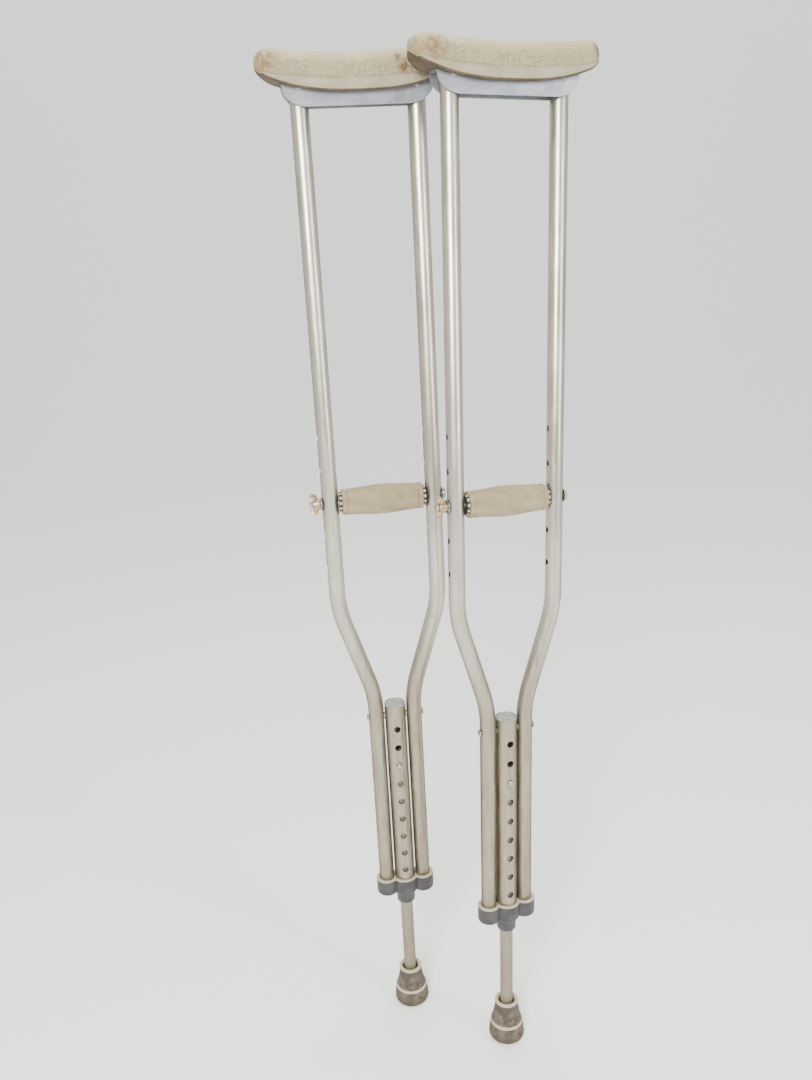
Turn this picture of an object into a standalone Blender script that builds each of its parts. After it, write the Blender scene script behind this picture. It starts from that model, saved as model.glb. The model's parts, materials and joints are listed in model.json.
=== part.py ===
"""A pair of push-button aluminium underarm crutches, one upright and one leaning back beside it.

Units are metres, +Z is up. Each crutch is built in its own frame: X runs across it with the wing nut
at -X, -Y is the front with the snap button, and Z is its own long axis with the rubber tip at zero.
"""

import math

import bmesh
import bpy
from mathutils import Euler, Matrix, Vector

# ---------------------------------------------------------------- driving dimensions
CLEARANCE = 0.0003

# where the two crutches stand: floor point, turn about the vertical, and how far the second one leans
CRUTCH_1_FOOT = (-0.071749, 0.027983)
CRUTCH_1_YAW = math.radians(9.2)
CRUTCH_2_FOOT = (0.050448, -0.042118)
CRUTCH_2_YAW = math.radians(18.7)
CRUTCH_2_LEAN_BACK = math.radians(3.0)
CRUTCH_2_LEAN_RIGHT = math.radians(1.23)

# bows: the two long side tubes
BOW_RADIUS = 0.009525
BOW_WALL = 0.0012
BOW_HALF_SPREAD = 0.0590
LOWER_BEND_Z = 0.462
UPPER_BEND_Z = 0.577
BEND_RADIUS = 0.140
BEND_STEPS = 3
BOW_SIDES = 14

# centre tube and the rivet that ties it to the bows
CENTER_RADIUS = 0.0127
CENTER_WALL = 0.00125
CENTER_TOP_Z = 0.446
COLUMN_GAP = 0.0014
TUBE_SIDES = 20
CROSS_RIVET_Z = 0.432
CROSS_RIVET_RADIUS = 0.0024
CROSS_RIVET_HEAD_RADIUS = 0.0042
CROSS_RIVET_HEAD_HEIGHT = 0.0017
SPACER_THICKNESS = 0.0008
SPACER_RADIUS = 0.0042

# height setting: holes up the front of the centre tube and the button that sits in one of them
LENGTH_HOLES = 9
LENGTH_PITCH = 0.0254
LOWEST_HOLE_Z = 0.2137
BUTTON_HOLE = 6
BUTTON_RADIUS = 0.0037
BUTTON_STANDS_OUT = 0.0024
BUTTON_FLANGE_RADIUS = 0.0043
BUTTON_FLANGE_OUTER = 0.0045
BUTTON_FLANGE_THICKNESS = 0.0012
SPRING_STRIP = 0.0007
SPRING_WIDTH = 0.0060
SPRING_DROP = 0.0230

# telescoping leg
LEG_RADIUS = 0.0079375
LEG_WALL = 0.0014
LEG_ABOVE_BUTTON = 0.0115
GUIDE_LENGTH = 0.0300

# top plug
PLUG_FLANGE = 0.0018
PLUG_SKIRT = 0.0060
PLUG_WALL = 0.0015
PLUG_DISH = 0.0010

# moulded bottom bracket
BRACKET_TOP_Z = 0.199
BRACKET_HEIGHT = 0.0230
BRACKET_WALL = 0.0039
BRACKET_FLOOR = 0.0040
BRACKET_BEVEL = 0.0022
COLLAR_RADIUS = 0.0117
COLLAR_DROP = 0.0150

# rubber tip
TIP_HEIGHT = 0.0530
TIP_FOOT_RADIUS = 0.0224
TIP_TREAD_RADIUS = 0.0202
TIP_FOOT_HEIGHTS = (0.0120, 0.0060, 0.0020)
TIP_FOOT_DRAW_IN = (0.0008, 0.0, 0.0006)
TIP_SHOULDER_Z = 0.0215
TIP_SHOULDER_RADIUS = 0.0206
TIP_SHOULDER_LIP = 0.0012
TIP_SHOULDER_STEP = 0.0016
TIP_NECK_RADIUS = 0.0146
TIP_MOUTH_RADIUS = 0.0115
TIP_RIM_RADIUS = 0.0150
TIP_RIM_HEIGHT = 0.0025
TIP_FLOOR = 0.0090
TIP_GROOVE_RADIUS = 0.0140
TIP_GROOVE_WIDTH = 0.0022
TIP_GROOVE_DEPTH = 0.0015
TIP_WASHER_THICKNESS = 0.0015
TIP_WASHER_RADIUS = 0.0091
TIP_WASHER_BORE = 0.0030

# hand grip between the bows
GRIP_Z = 0.7070
GRIP_PITCH = 0.0381
GRIP_HOLES_EACH_WAY = 2
GRIP_END_RADIUS = 0.0150
GRIP_MID_RADIUS = 0.0172
GRIP_GROOVE_RADIUS = 0.0139
GRIP_GROOVE_FROM_END = 0.0045
GRIP_GROOVE_WIDTH = 0.0018
CORE_RADIUS = 0.0095
BUSHING_WIDTH = 0.0029
BUSHING_RADIUS = 0.0120
BUSHING_TEETH = 12
BUSHING_TOOTH_DEPTH = 0.0010

# through bolt, washers and wing nut
BOLT_RADIUS = 0.003175
BOLT_HEAD_RADIUS = 0.0065
BOLT_HEAD_HEIGHT = 0.0032
BOLT_END_PAST_NUT = 0.0035
THREAD_CLEARANCE = 0.0002
WASHER_RADIUS = 0.0075
WASHER_THICKNESS = 0.0012
NUT_HUB_RADIUS = 0.0058
NUT_HUB_LENGTH = 0.0085
NUT_SPAN = 0.0255
NUT_WING_THICKNESS = 0.0019
NUT_ANGLES = {"1": math.radians(40.0), "2": math.radians(-14.0)}

# saddle: the folded aluminium channel on top of the bows
SADDLE_BOTTOM_Z = 1.1160
SADDLE_HEIGHT = 0.0225
SADDLE_SHEET = 0.0015
SADDLE_PLATE_HALF_WIDTH = 0.0165
SADDLE_BOTTOM_SHORT_OF_BOW = 0.0090
SADDLE_TOP_PAST_BOW = 0.0170
SADDLE_RIVET_BELOW_PLATE = 0.0050
SADDLE_RIVET_RADIUS = 0.0016
SADDLE_RIVET_HEAD_RADIUS = 0.0030
SADDLE_RIVET_HEAD_HEIGHT = 0.0012

# underarm pad
PAD_PAST_BOW = 0.0415
PAD_HALF_WIDTH = 0.0205
PAD_TOP_MID = 0.0505
PAD_TOP_END = 0.0575
PAD_UNDER_MID = 0.0122
PAD_UNDER_END = 0.0310
PAD_PLAN_ROUND = 0.0200
PAD_END_ROUND = 0.0120
PAD_SQUARENESS = 0.5
PAD_SIDES = 20
PAD_STATIONS = 16
PAD_LAST_STATION = 0.97

# ---------------------------------------------------------------- sizes that follow from them
BOW_LOWER_X = CENTER_RADIUS + COLUMN_GAP + BOW_RADIUS
BRACKET_BOTTOM_Z = BRACKET_TOP_Z - BRACKET_HEIGHT
TUBE_FOOT_Z = BRACKET_BOTTOM_Z + BRACKET_FLOOR + CLEARANCE
COLLAR_BOTTOM_Z = BRACKET_BOTTOM_Z - COLLAR_DROP
BUTTON_Z = LOWEST_HOLE_Z + BUTTON_HOLE * LENGTH_PITCH
LEG_TOP_Z = BUTTON_Z + LEG_ABOVE_BUTTON
CENTER_BORE = CENTER_RADIUS - CENTER_WALL
LENGTH_HOLE_RADIUS = BUTTON_RADIUS + CLEARANCE
SADDLE_BOTTOM_HALF = BOW_HALF_SPREAD - SADDLE_BOTTOM_SHORT_OF_BOW
SADDLE_TOP_HALF = BOW_HALF_SPREAD + SADDLE_TOP_PAST_BOW
PAD_HALF_LENGTH = BOW_HALF_SPREAD + PAD_PAST_BOW
PLATE_TOP_Z = SADDLE_BOTTOM_Z + SADDLE_HEIGHT
BOW_TOP_Z = PLATE_TOP_Z - SADDLE_SHEET - CLEARANCE
FLANGE_INNER_Y = BOW_RADIUS + CLEARANCE
FLANGE_OUTER_Y = FLANGE_INNER_Y + SADDLE_SHEET
SADDLE_RIVET_Z = PLATE_TOP_Z - SADDLE_RIVET_BELOW_PLATE
SADDLE_RIVET_FACE_Y = FLANGE_OUTER_Y + CLEARANCE
BOLT_HOLE_RADIUS = BOLT_RADIUS + CLEARANCE
BOW_INNER_X = BOW_HALF_SPREAD - BOW_RADIUS
BOW_OUTER_X = BOW_HALF_SPREAD + BOW_RADIUS
GRIP_HALF = BOW_INNER_X - 2 * CLEARANCE - BUSHING_WIDTH
WASHER_INNER_X = BOW_OUTER_X + CLEARANCE
WASHER_OUTER_X = WASHER_INNER_X + WASHER_THICKNESS
NUT_INNER_X = WASHER_OUTER_X + CLEARANCE
BOLT_END_X = NUT_INNER_X + NUT_HUB_LENGTH + BOLT_END_PAST_NUT
CROSS_RIVET_FACE_X = BOW_LOWER_X + BOW_RADIUS + CLEARANCE

# colour, roughness, metallic
FINISHES = {
    "anodised_aluminium": ((0.74, 0.72, 0.66), 0.38, 1.0),
    "satin_aluminium": ((0.72, 0.74, 0.78), 0.45, 1.0),
    "zinc_steel": ((0.70, 0.69, 0.66), 0.32, 1.0),
    "pad_rubber": ((0.63, 0.57, 0.43), 0.80, 0.0),
    "grip_foam": ((0.47, 0.42, 0.32), 0.90, 0.0),
    "tip_rubber": ((0.27, 0.24, 0.21), 0.85, 0.0),
    "bracket_plastic": ((0.20, 0.20, 0.20), 0.55, 0.0),
    "pale_plastic": ((0.62, 0.64, 0.62), 0.50, 0.0),
}

TO_PLUS_X = Euler((0.0, math.radians(90.0), 0.0)).to_matrix().to_4x4()
TO_FRONT = Euler((math.radians(90.0), 0.0, 0.0)).to_matrix().to_4x4()


# ---------------------------------------------------------------- scene helpers
def clear_scene():
    for obj in list(bpy.data.objects):
        bpy.data.objects.remove(obj, do_unlink=True)


def add_collection(name):
    collection = bpy.data.collections.new(name)
    bpy.context.scene.collection.children.link(collection)
    return collection


def make_finish(name):
    colour, roughness, metallic = FINISHES[name]
    finish = bpy.data.materials.new(name)
    finish.use_nodes = True
    shader = finish.node_tree.nodes["Principled BSDF"]
    shader.inputs["Base Color"].default_value = (*colour, 1.0)
    shader.inputs["Roughness"].default_value = roughness
    shader.inputs["Metallic"].default_value = metallic
    finish.diffuse_color = (*colour, 1.0)
    return finish


class Crutch:
    """One crutch: its suffix, the empty that places it, and the collections its objects go in."""

    def __init__(self, suffix, placement, parts, cutters, finishes):
        self.suffix = suffix
        self.parts = parts
        self.cutters = cutters
        self.finishes = finishes
        self.frame = bpy.data.objects.new("crutch_frame_" + suffix, None)
        self.frame.matrix_world = placement
        parts.objects.link(self.frame)

    def place(self, obj, name, matrix, finish):
        """Names an object, hangs it on this crutch's empty and gives it a finish and smooth shading."""
        obj.name = name + "_" + self.suffix
        self.parts.objects.link(obj)
        obj.parent = self.frame
        obj.matrix_local = matrix
        obj.data.materials.append(self.finishes[finish])
        return obj

    def cutter(self, name, mesh):
        """A hidden wire-drawn object that a Boolean modifier takes away."""
        obj = bpy.data.objects.new("cut_" + name + "_" + self.suffix, mesh)
        self.cutters.objects.link(obj)
        obj.parent = self.frame
        obj.hide_render = True
        obj.display_type = "WIRE"
        return obj


def at(x=0.0, y=0.0, z=0.0):
    return Matrix.Translation((x, y, z))


def shade(mesh):
    mesh.shade_smooth()
    mesh.set_sharp_from_angle(angle=math.radians(35.0))


def add_boolean(obj, other, operation):
    modifier = obj.modifiers.new(operation.lower(), "BOOLEAN")
    modifier.operation = operation
    modifier.solver = "EXACT"
    modifier.object = other


# ---------------------------------------------------------------- shape helpers
def turned(crutch, name, profile, matrix, finish, sides):
    """Turns a list of (radius, height) points about local Z: down the outside, then up any bore."""
    closed = all(radius > 0.0 for radius, _ in profile)
    mesh = bpy.data.meshes.new(name)
    edges = [(i, i + 1) for i in range(len(profile) - 1)]
    if closed:
        edges.append((len(profile) - 1, 0))
    mesh.from_pydata([(radius, 0.0, height) for radius, height in profile], edges, [])
    obj = bpy.data.objects.new(name, mesh)
    crutch.place(obj, name, matrix, finish)
    screw = obj.modifiers.new("turn", "SCREW")
    screw.axis = "Z"
    screw.angle = math.tau
    screw.steps = sides
    screw.render_steps = sides
    screw.use_merge_vertices = True
    screw.merge_threshold = 0.00001
    screw.use_smooth_shade = True
    return obj


def ring(crutch, name, outer, bore, thickness, matrix, finish, sides):
    """A plain washer or sleeve from local Z zero upwards."""
    profile = [(outer, thickness), (outer, 0.0), (bore, 0.0), (bore, thickness)]
    return turned(crutch, name, profile, matrix, finish, sides)


def cylinders_mesh(name, cylinders, sides):
    """One mesh of several capped cylinders, each a (matrix, radius, length) centred on its matrix."""
    mesh = bpy.data.meshes.new(name)
    bm = bmesh.new()
    for matrix, radius, length in cylinders:
        bmesh.ops.create_cone(
            bm, cap_ends=True, cap_tris=False, segments=sides,
            radius1=radius, radius2=radius, depth=length, matrix=matrix,
        )
    bm.to_mesh(mesh)
    bm.free()
    return mesh


def box_mesh(name, low, high):
    mesh = bpy.data.meshes.new(name)
    bm = bmesh.new()
    size = Vector(high) - Vector(low)
    middle = (Vector(high) + Vector(low)) / 2
    bmesh.ops.create_cube(bm, size=1.0, matrix=Matrix.Translation(middle) @ Matrix.Diagonal((*size, 1.0)))
    bm.to_mesh(mesh)
    bm.free()
    return mesh


def mesh_from_curve(curve, name):
    """Evaluates a curve, welds its loose caps and returns a plain mesh."""
    holder = bpy.data.objects.new(name, curve)
    bpy.context.scene.collection.objects.link(holder)
    graph = bpy.context.evaluated_depsgraph_get()
    mesh = bpy.data.meshes.new_from_object(holder.evaluated_get(graph))
    bpy.data.objects.remove(holder, do_unlink=True)
    bm = bmesh.new()
    bm.from_mesh(mesh)
    bmesh.ops.remove_doubles(bm, verts=bm.verts, dist=0.00001)
    bmesh.ops.recalc_face_normals(bm, faces=bm.faces)
    bm.to_mesh(mesh)
    bm.free()
    mesh.name = name
    return mesh


def tube_mesh(name, points, radius, sides):
    """A round bar along a polyline, with flat ends."""
    curve = bpy.data.curves.new(name, "CURVE")
    curve.dimensions = "3D"
    curve.bevel_depth = radius
    curve.bevel_resolution = (sides - 4) // 2
    curve.use_fill_caps = True
    spline = curve.splines.new("POLY")
    spline.points.add(len(points) - 1)
    for point, place in zip(spline.points, points):
        point.co = (*place, 1.0)
    return mesh_from_curve(curve, name)


def plate_mesh(name, outline, half_thickness):
    """A flat outline in local XY, given as (x, y) points, thickened evenly about it."""
    curve = bpy.data.curves.new(name, "CURVE")
    curve.dimensions = "2D"
    curve.fill_mode = "BOTH"
    curve.extrude = half_thickness
    spline = curve.splines.new("POLY")
    spline.points.add(len(outline) - 1)
    for point, (x, y) in zip(spline.points, outline):
        point.co = (x, y, 0.0, 1.0)
    spline.use_cyclic_u = True
    return mesh_from_curve(curve, name)


def arc(centre, radius, start, end, steps):
    """Points on an arc, angles in radians, both ends included."""
    span = [start + (end - start) * i / steps for i in range(steps + 1)]
    return [(centre[0] + radius * math.cos(a), centre[1] + radius * math.sin(a)) for a in span]


def rounded_path(corners, radius, steps):
    """A polyline through the corners with each inner corner replaced by an arc."""
    points = [corners[0]]
    for before, corner, after in zip(corners, corners[1:], corners[2:]):
        into = (Vector(corner) - Vector(before)).normalized()
        out = (Vector(after) - Vector(corner)).normalized()
        turn = into.angle(out)
        reach = radius * math.tan(turn / 2)
        start = Vector(corner) - into * reach
        centre = start + (out - into * into.dot(out)).normalized() * radius
        axis = into.cross(out).normalized()
        for i in range(steps + 1):
            spin = Matrix.Rotation(turn * i / steps, 3, axis)
            points.append(tuple(centre + spin @ (start - centre)))
    points.append(corners[-1])
    return points


# ---------------------------------------------------------------- bows and centre column
def bow_corners(side, foot_z, top_z):
    return [
        (side * BOW_LOWER_X, 0.0, foot_z),
        (side * BOW_LOWER_X, 0.0, LOWER_BEND_Z),
        (side * BOW_HALF_SPREAD, 0.0, UPPER_BEND_Z),
        (side * BOW_HALF_SPREAD, 0.0, top_z),
    ]


def grip_hole_heights():
    return [GRIP_Z + i * GRIP_PITCH for i in range(-GRIP_HOLES_EACH_WAY, GRIP_HOLES_EACH_WAY + 1)]


def build_bow(crutch, name, side):
    path = rounded_path(bow_corners(side, TUBE_FOOT_Z, BOW_TOP_Z), BEND_RADIUS, BEND_STEPS)
    bore_corners = bow_corners(side, TUBE_FOOT_Z - BOW_WALL, BOW_TOP_Z + BOW_WALL)
    bore_path = rounded_path(bore_corners, BEND_RADIUS, BEND_STEPS)
    obj = bpy.data.objects.new(name, tube_mesh(name, path, BOW_RADIUS, BOW_SIDES))
    shade(obj.data)
    crutch.place(obj, name, Matrix.Identity(4), "anodised_aluminium")
    bore = tube_mesh(name + "_bore", bore_path, BOW_RADIUS - BOW_WALL, BOW_SIDES)
    add_boolean(obj, crutch.cutter(name + "_bore", bore), "DIFFERENCE")
    across = 4 * BOW_RADIUS
    holes = [
        (at(side * BOW_HALF_SPREAD, 0.0, z) @ TO_PLUS_X, BOLT_HOLE_RADIUS, across)
        for z in grip_hole_heights()
    ]
    rivet_hole = CROSS_RIVET_RADIUS + CLEARANCE
    holes.append((at(side * BOW_LOWER_X, 0.0, CROSS_RIVET_Z) @ TO_PLUS_X, rivet_hole, across))
    saddle_hole = SADDLE_RIVET_RADIUS + CLEARANCE
    holes.append((at(side * BOW_HALF_SPREAD, 0.0, SADDLE_RIVET_Z) @ TO_FRONT, saddle_hole, across))
    add_boolean(obj, crutch.cutter(name + "_holes", cylinders_mesh(name, holes, 10)), "DIFFERENCE")
    return obj


def build_center_tube(crutch):
    length = CENTER_TOP_Z - TUBE_FOOT_Z
    middle = at(0.0, 0.0, TUBE_FOOT_Z + length / 2)
    name = "center_tube"
    mesh = cylinders_mesh(name, [(middle, CENTER_RADIUS, length)], TUBE_SIDES)
    shade(mesh)
    obj = crutch.place(bpy.data.objects.new(name, mesh), name, Matrix.Identity(4), "anodised_aluminium")
    bore = cylinders_mesh(name, [(middle, CENTER_BORE, length * 1.1)], TUBE_SIDES)
    add_boolean(obj, crutch.cutter("center_bore", bore), "DIFFERENCE")
    across = 4 * CENTER_RADIUS
    holes = [
        (at(0.0, 0.0, LOWEST_HOLE_Z + i * LENGTH_PITCH) @ TO_FRONT, LENGTH_HOLE_RADIUS, across)
        for i in range(LENGTH_HOLES)
    ]
    rivet_hole = CROSS_RIVET_RADIUS + CLEARANCE
    holes.append((at(0.0, 0.0, CROSS_RIVET_Z) @ TO_PLUS_X, rivet_hole, across))
    add_boolean(obj, crutch.cutter("center_holes", cylinders_mesh(name, holes, 10)), "DIFFERENCE")
    return obj


def build_top_plug(crutch):
    flange_bottom = CENTER_TOP_Z + CLEARANCE
    flange_top = flange_bottom + PLUG_FLANGE
    skirt_radius = CENTER_BORE - CLEARANCE
    skirt_bottom = CENTER_TOP_Z - PLUG_SKIRT
    dish_radius = CENTER_RADIUS * 0.80
    profile = [
        (0.0, flange_top - PLUG_DISH),
        (dish_radius, flange_top - PLUG_DISH),
        (CENTER_RADIUS - PLUG_DISH, flange_top),
        (CENTER_RADIUS, flange_bottom + PLUG_DISH / 2),
        (CENTER_RADIUS, flange_bottom),
        (skirt_radius, flange_bottom),
        (skirt_radius, skirt_bottom),
        (skirt_radius - PLUG_WALL, skirt_bottom),
        (skirt_radius - PLUG_WALL, flange_bottom - CLEARANCE),
        (0.0, flange_bottom - CLEARANCE),
    ]
    return turned(crutch, "top_plug", profile, Matrix.Identity(4), "pale_plastic", TUBE_SIDES)


def dome(radius, base, height, steps):
    """Points down a shallow dome from its top on the axis to its edge at height `base`."""
    span = [math.pi / 2 * i / steps for i in range(steps + 1)]
    return [(radius * math.sin(a), base + height * math.cos(a)) for a in span]


def two_headed_rivet(crutch, name, face, shank, head, head_height, matrix, sides):
    """A rivet about local Z with equal domed heads outside plus and minus `face`."""
    upper = dome(head, face, head_height, 3)
    lower = [(radius, -height) for radius, height in reversed(upper)]
    profile = upper + [(shank, face), (shank, -face)] + lower
    return turned(crutch, name, profile, matrix, "zinc_steel", sides)


def build_cross_rivet(crutch):
    place = at(0.0, 0.0, CROSS_RIVET_Z) @ TO_PLUS_X
    two_headed_rivet(
        crutch, "cross_rivet", CROSS_RIVET_FACE_X, CROSS_RIVET_RADIUS,
        CROSS_RIVET_HEAD_RADIUS, CROSS_RIVET_HEAD_HEIGHT, place, 12,
    )
    for letter, side in (("a", -1.0), ("b", 1.0)):
        middle = side * (CENTER_RADIUS + COLUMN_GAP / 2) - SPACER_THICKNESS / 2
        ring(
            crutch, "cross_spacer_" + letter, SPACER_RADIUS, CROSS_RIVET_RADIUS + CLEARANCE,
            SPACER_THICKNESS, at(middle, 0.0, CROSS_RIVET_Z) @ TO_PLUS_X, "zinc_steel", 12,
        )


# ---------------------------------------------------------------- bottom bracket
def bracket_outline():
    """Three round lobes in a row: one round each bow and a larger one round the centre tube."""
    side_radius = BOW_RADIUS + BRACKET_WALL
    mid_radius = CENTER_RADIUS + BRACKET_WALL
    notch_x = (BOW_LOWER_X ** 2 - side_radius ** 2 + mid_radius ** 2) / (2 * BOW_LOWER_X)
    notch_y = math.sqrt(mid_radius ** 2 - notch_x ** 2)
    side_turn = math.atan2(notch_y, notch_x - BOW_LOWER_X)
    mid_turn = math.atan2(notch_y, notch_x)
    right = arc((BOW_LOWER_X, 0.0), side_radius, -side_turn, side_turn, 10)
    back = arc((0.0, 0.0), mid_radius, mid_turn, math.pi - mid_turn, 6)
    left = arc((-BOW_LOWER_X, 0.0), side_radius, math.pi - side_turn, math.pi + side_turn, 10)
    front = arc((0.0, 0.0), mid_radius, math.pi + mid_turn, math.tau - mid_turn, 6)
    return right + back[1:-1] + left + front[1:-1]


def build_bottom_bracket(crutch):
    name = "bottom_bracket"
    mesh = plate_mesh(name, bracket_outline(), BRACKET_HEIGHT / 2)
    mesh.transform(at(0.0, 0.0, BRACKET_BOTTOM_Z + BRACKET_HEIGHT / 2))
    obj = crutch.place(bpy.data.objects.new(name, mesh), name, Matrix.Identity(4), "bracket_plastic")
    bevel = obj.modifiers.new("soft_edges", "BEVEL")
    bevel.width = BRACKET_BEVEL
    bevel.segments = 2
    bevel.limit_method = "ANGLE"
    bevel.angle_limit = math.radians(60.0)
    collar_top = BRACKET_BOTTOM_Z + BRACKET_FLOOR / 2
    collar_length = collar_top - COLLAR_BOTTOM_Z
    collar_place = at(0.0, 0.0, COLLAR_BOTTOM_Z + collar_length / 2)
    collar = cylinders_mesh("collar", [(collar_place, COLLAR_RADIUS, collar_length)], TUBE_SIDES)
    add_boolean(obj, crutch.cutter("collar", collar), "UNION")
    pocket_floor = BRACKET_BOTTOM_Z + BRACKET_FLOOR
    pocket_length = BRACKET_HEIGHT
    pocket_z = pocket_floor + pocket_length / 2
    pockets = [
        (at(-BOW_LOWER_X, 0.0, pocket_z), BOW_RADIUS + CLEARANCE, pocket_length),
        (at(0.0, 0.0, pocket_z), CENTER_RADIUS + CLEARANCE, pocket_length),
        (at(BOW_LOWER_X, 0.0, pocket_z), BOW_RADIUS + CLEARANCE, pocket_length),
    ]
    add_boolean(obj, crutch.cutter("pockets", cylinders_mesh("pockets", pockets, TUBE_SIDES)), "DIFFERENCE")
    bore_length = 4 * (COLLAR_DROP + BRACKET_FLOOR)
    bore = [(at(0.0, 0.0, BRACKET_BOTTOM_Z), LEG_RADIUS + CLEARANCE, bore_length)]
    add_boolean(obj, crutch.cutter("leg_bore", cylinders_mesh("leg_bore", bore, TUBE_SIDES)), "DIFFERENCE")
    return obj


# ---------------------------------------------------------------- leg, button and tip
def build_leg(crutch):
    name = "leg_tube"
    foot = TIP_FLOOR + TIP_WASHER_THICKNESS + 2 * CLEARANCE
    length = LEG_TOP_Z - foot
    obj = ring(
        crutch, name, LEG_RADIUS, LEG_RADIUS - LEG_WALL, length,
        at(0.0, 0.0, foot), "anodised_aluminium", TUBE_SIDES,
    )
    hole = [(at(0.0, -LEG_RADIUS, BUTTON_Z) @ TO_FRONT, LENGTH_HOLE_RADIUS, LEG_RADIUS)]
    add_boolean(obj, crutch.cutter("leg_hole", cylinders_mesh(name, hole, 12)), "DIFFERENCE")
    guide = ring(
        crutch, "leg_guide", CENTER_BORE - CLEARANCE, LEG_RADIUS + CLEARANCE, GUIDE_LENGTH,
        at(0.0, 0.0, LEG_TOP_Z - GUIDE_LENGTH), "pale_plastic", TUBE_SIDES,
    )
    outside = at(0.0, -CENTER_RADIUS - LEG_RADIUS / 2, BUTTON_Z)
    hole = [(outside @ TO_FRONT, LENGTH_HOLE_RADIUS, 2 * CENTER_RADIUS)]
    add_boolean(guide, crutch.cutter("guide_hole", cylinders_mesh(name, hole, 12)), "DIFFERENCE")


def build_snap_button(crutch):
    """The button in front of its flange, and behind it a U-shaped strip spring that bears on the back wall."""
    face = CENTER_RADIUS + BUTTON_STANDS_OUT
    flange_inner = BUTTON_FLANGE_OUTER - BUTTON_FLANGE_THICKNESS
    round_off = BUTTON_STANDS_OUT / 2
    profile = dome(BUTTON_RADIUS, face - round_off, round_off, 3) + [
        (BUTTON_RADIUS, BUTTON_FLANGE_OUTER),
        (BUTTON_FLANGE_RADIUS, BUTTON_FLANGE_OUTER),
        (BUTTON_FLANGE_RADIUS, flange_inner),
        (0.0, flange_inner),
    ]
    turned(crutch, "snap_button", profile, at(0.0, 0.0, BUTTON_Z) @ TO_FRONT, "zinc_steel", 14)

    bore = LEG_RADIUS - LEG_WALL
    front = flange_inner - CLEARANCE
    rear = math.sqrt(bore ** 2 - (SPRING_WIDTH / 2) ** 2) - 2 * CLEARANCE
    bend_outer = (front + rear) / 2
    centre = ((rear - front) / 2, -SPRING_DROP)
    top = BUTTON_FLANGE_RADIUS
    outline = [(-front, top)] + arc(centre, bend_outer, math.pi, math.tau, 8) + [(rear, top)]
    outline += [(rear - SPRING_STRIP, top)]
    outline += arc(centre, bend_outer - SPRING_STRIP, math.tau, math.pi, 8)
    outline += [(-front + SPRING_STRIP, top)]
    mesh = plate_mesh("snap_spring", outline, SPRING_WIDTH / 2)
    place = at(0.0, 0.0, BUTTON_Z) @ Euler((math.radians(90.0), 0.0, math.radians(90.0))).to_matrix().to_4x4()
    crutch.place(bpy.data.objects.new("snap_spring", mesh), "snap_spring", place, "zinc_steel")


def build_tip(crutch):
    rim_bottom = TIP_HEIGHT - TIP_RIM_HEIGHT
    bore = LEG_RADIUS + CLEARANCE
    pocket = TIP_WASHER_RADIUS + CLEARANCE
    pocket_top = TIP_FLOOR + TIP_WASHER_THICKNESS + 2 * CLEARANCE
    groove = TIP_GROOVE_RADIUS
    mouth_depth = TIP_MOUTH_RADIUS - bore
    profile = [
        (TIP_MOUTH_RADIUS, TIP_HEIGHT),
        (TIP_RIM_RADIUS, TIP_HEIGHT),
        (TIP_RIM_RADIUS, rim_bottom),
        (TIP_NECK_RADIUS, rim_bottom),
        (TIP_SHOULDER_RADIUS - TIP_SHOULDER_STEP, TIP_SHOULDER_Z + 2 * TIP_SHOULDER_LIP),
        (TIP_SHOULDER_RADIUS, TIP_SHOULDER_Z + TIP_SHOULDER_LIP),
        (TIP_SHOULDER_RADIUS, TIP_SHOULDER_Z),
    ]
    profile += [(TIP_FOOT_RADIUS - inset, z) for z, inset in zip(TIP_FOOT_HEIGHTS, TIP_FOOT_DRAW_IN)]
    profile += [
        (TIP_TREAD_RADIUS, 0.0),
        (groove + TIP_GROOVE_WIDTH, 0.0),
        (groove + TIP_GROOVE_WIDTH, TIP_GROOVE_DEPTH),
        (groove, TIP_GROOVE_DEPTH),
        (groove, 0.0),
        (0.0, 0.0),
    ]
    inside = [
        (0.0, TIP_FLOOR),
        (pocket, TIP_FLOOR),
        (pocket, pocket_top),
        (bore, pocket_top),
        (bore, TIP_HEIGHT - 2 * mouth_depth),
        (TIP_MOUTH_RADIUS, TIP_HEIGHT),
    ]
    turned(crutch, "rubber_tip", profile + inside, Matrix.Identity(4), "tip_rubber", TUBE_SIDES)
    ring(
        crutch, "tip_washer", TIP_WASHER_RADIUS, TIP_WASHER_BORE, TIP_WASHER_THICKNESS,
        at(0.0, 0.0, TIP_FLOOR + CLEARANCE), "zinc_steel", 16,
    )


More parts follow.
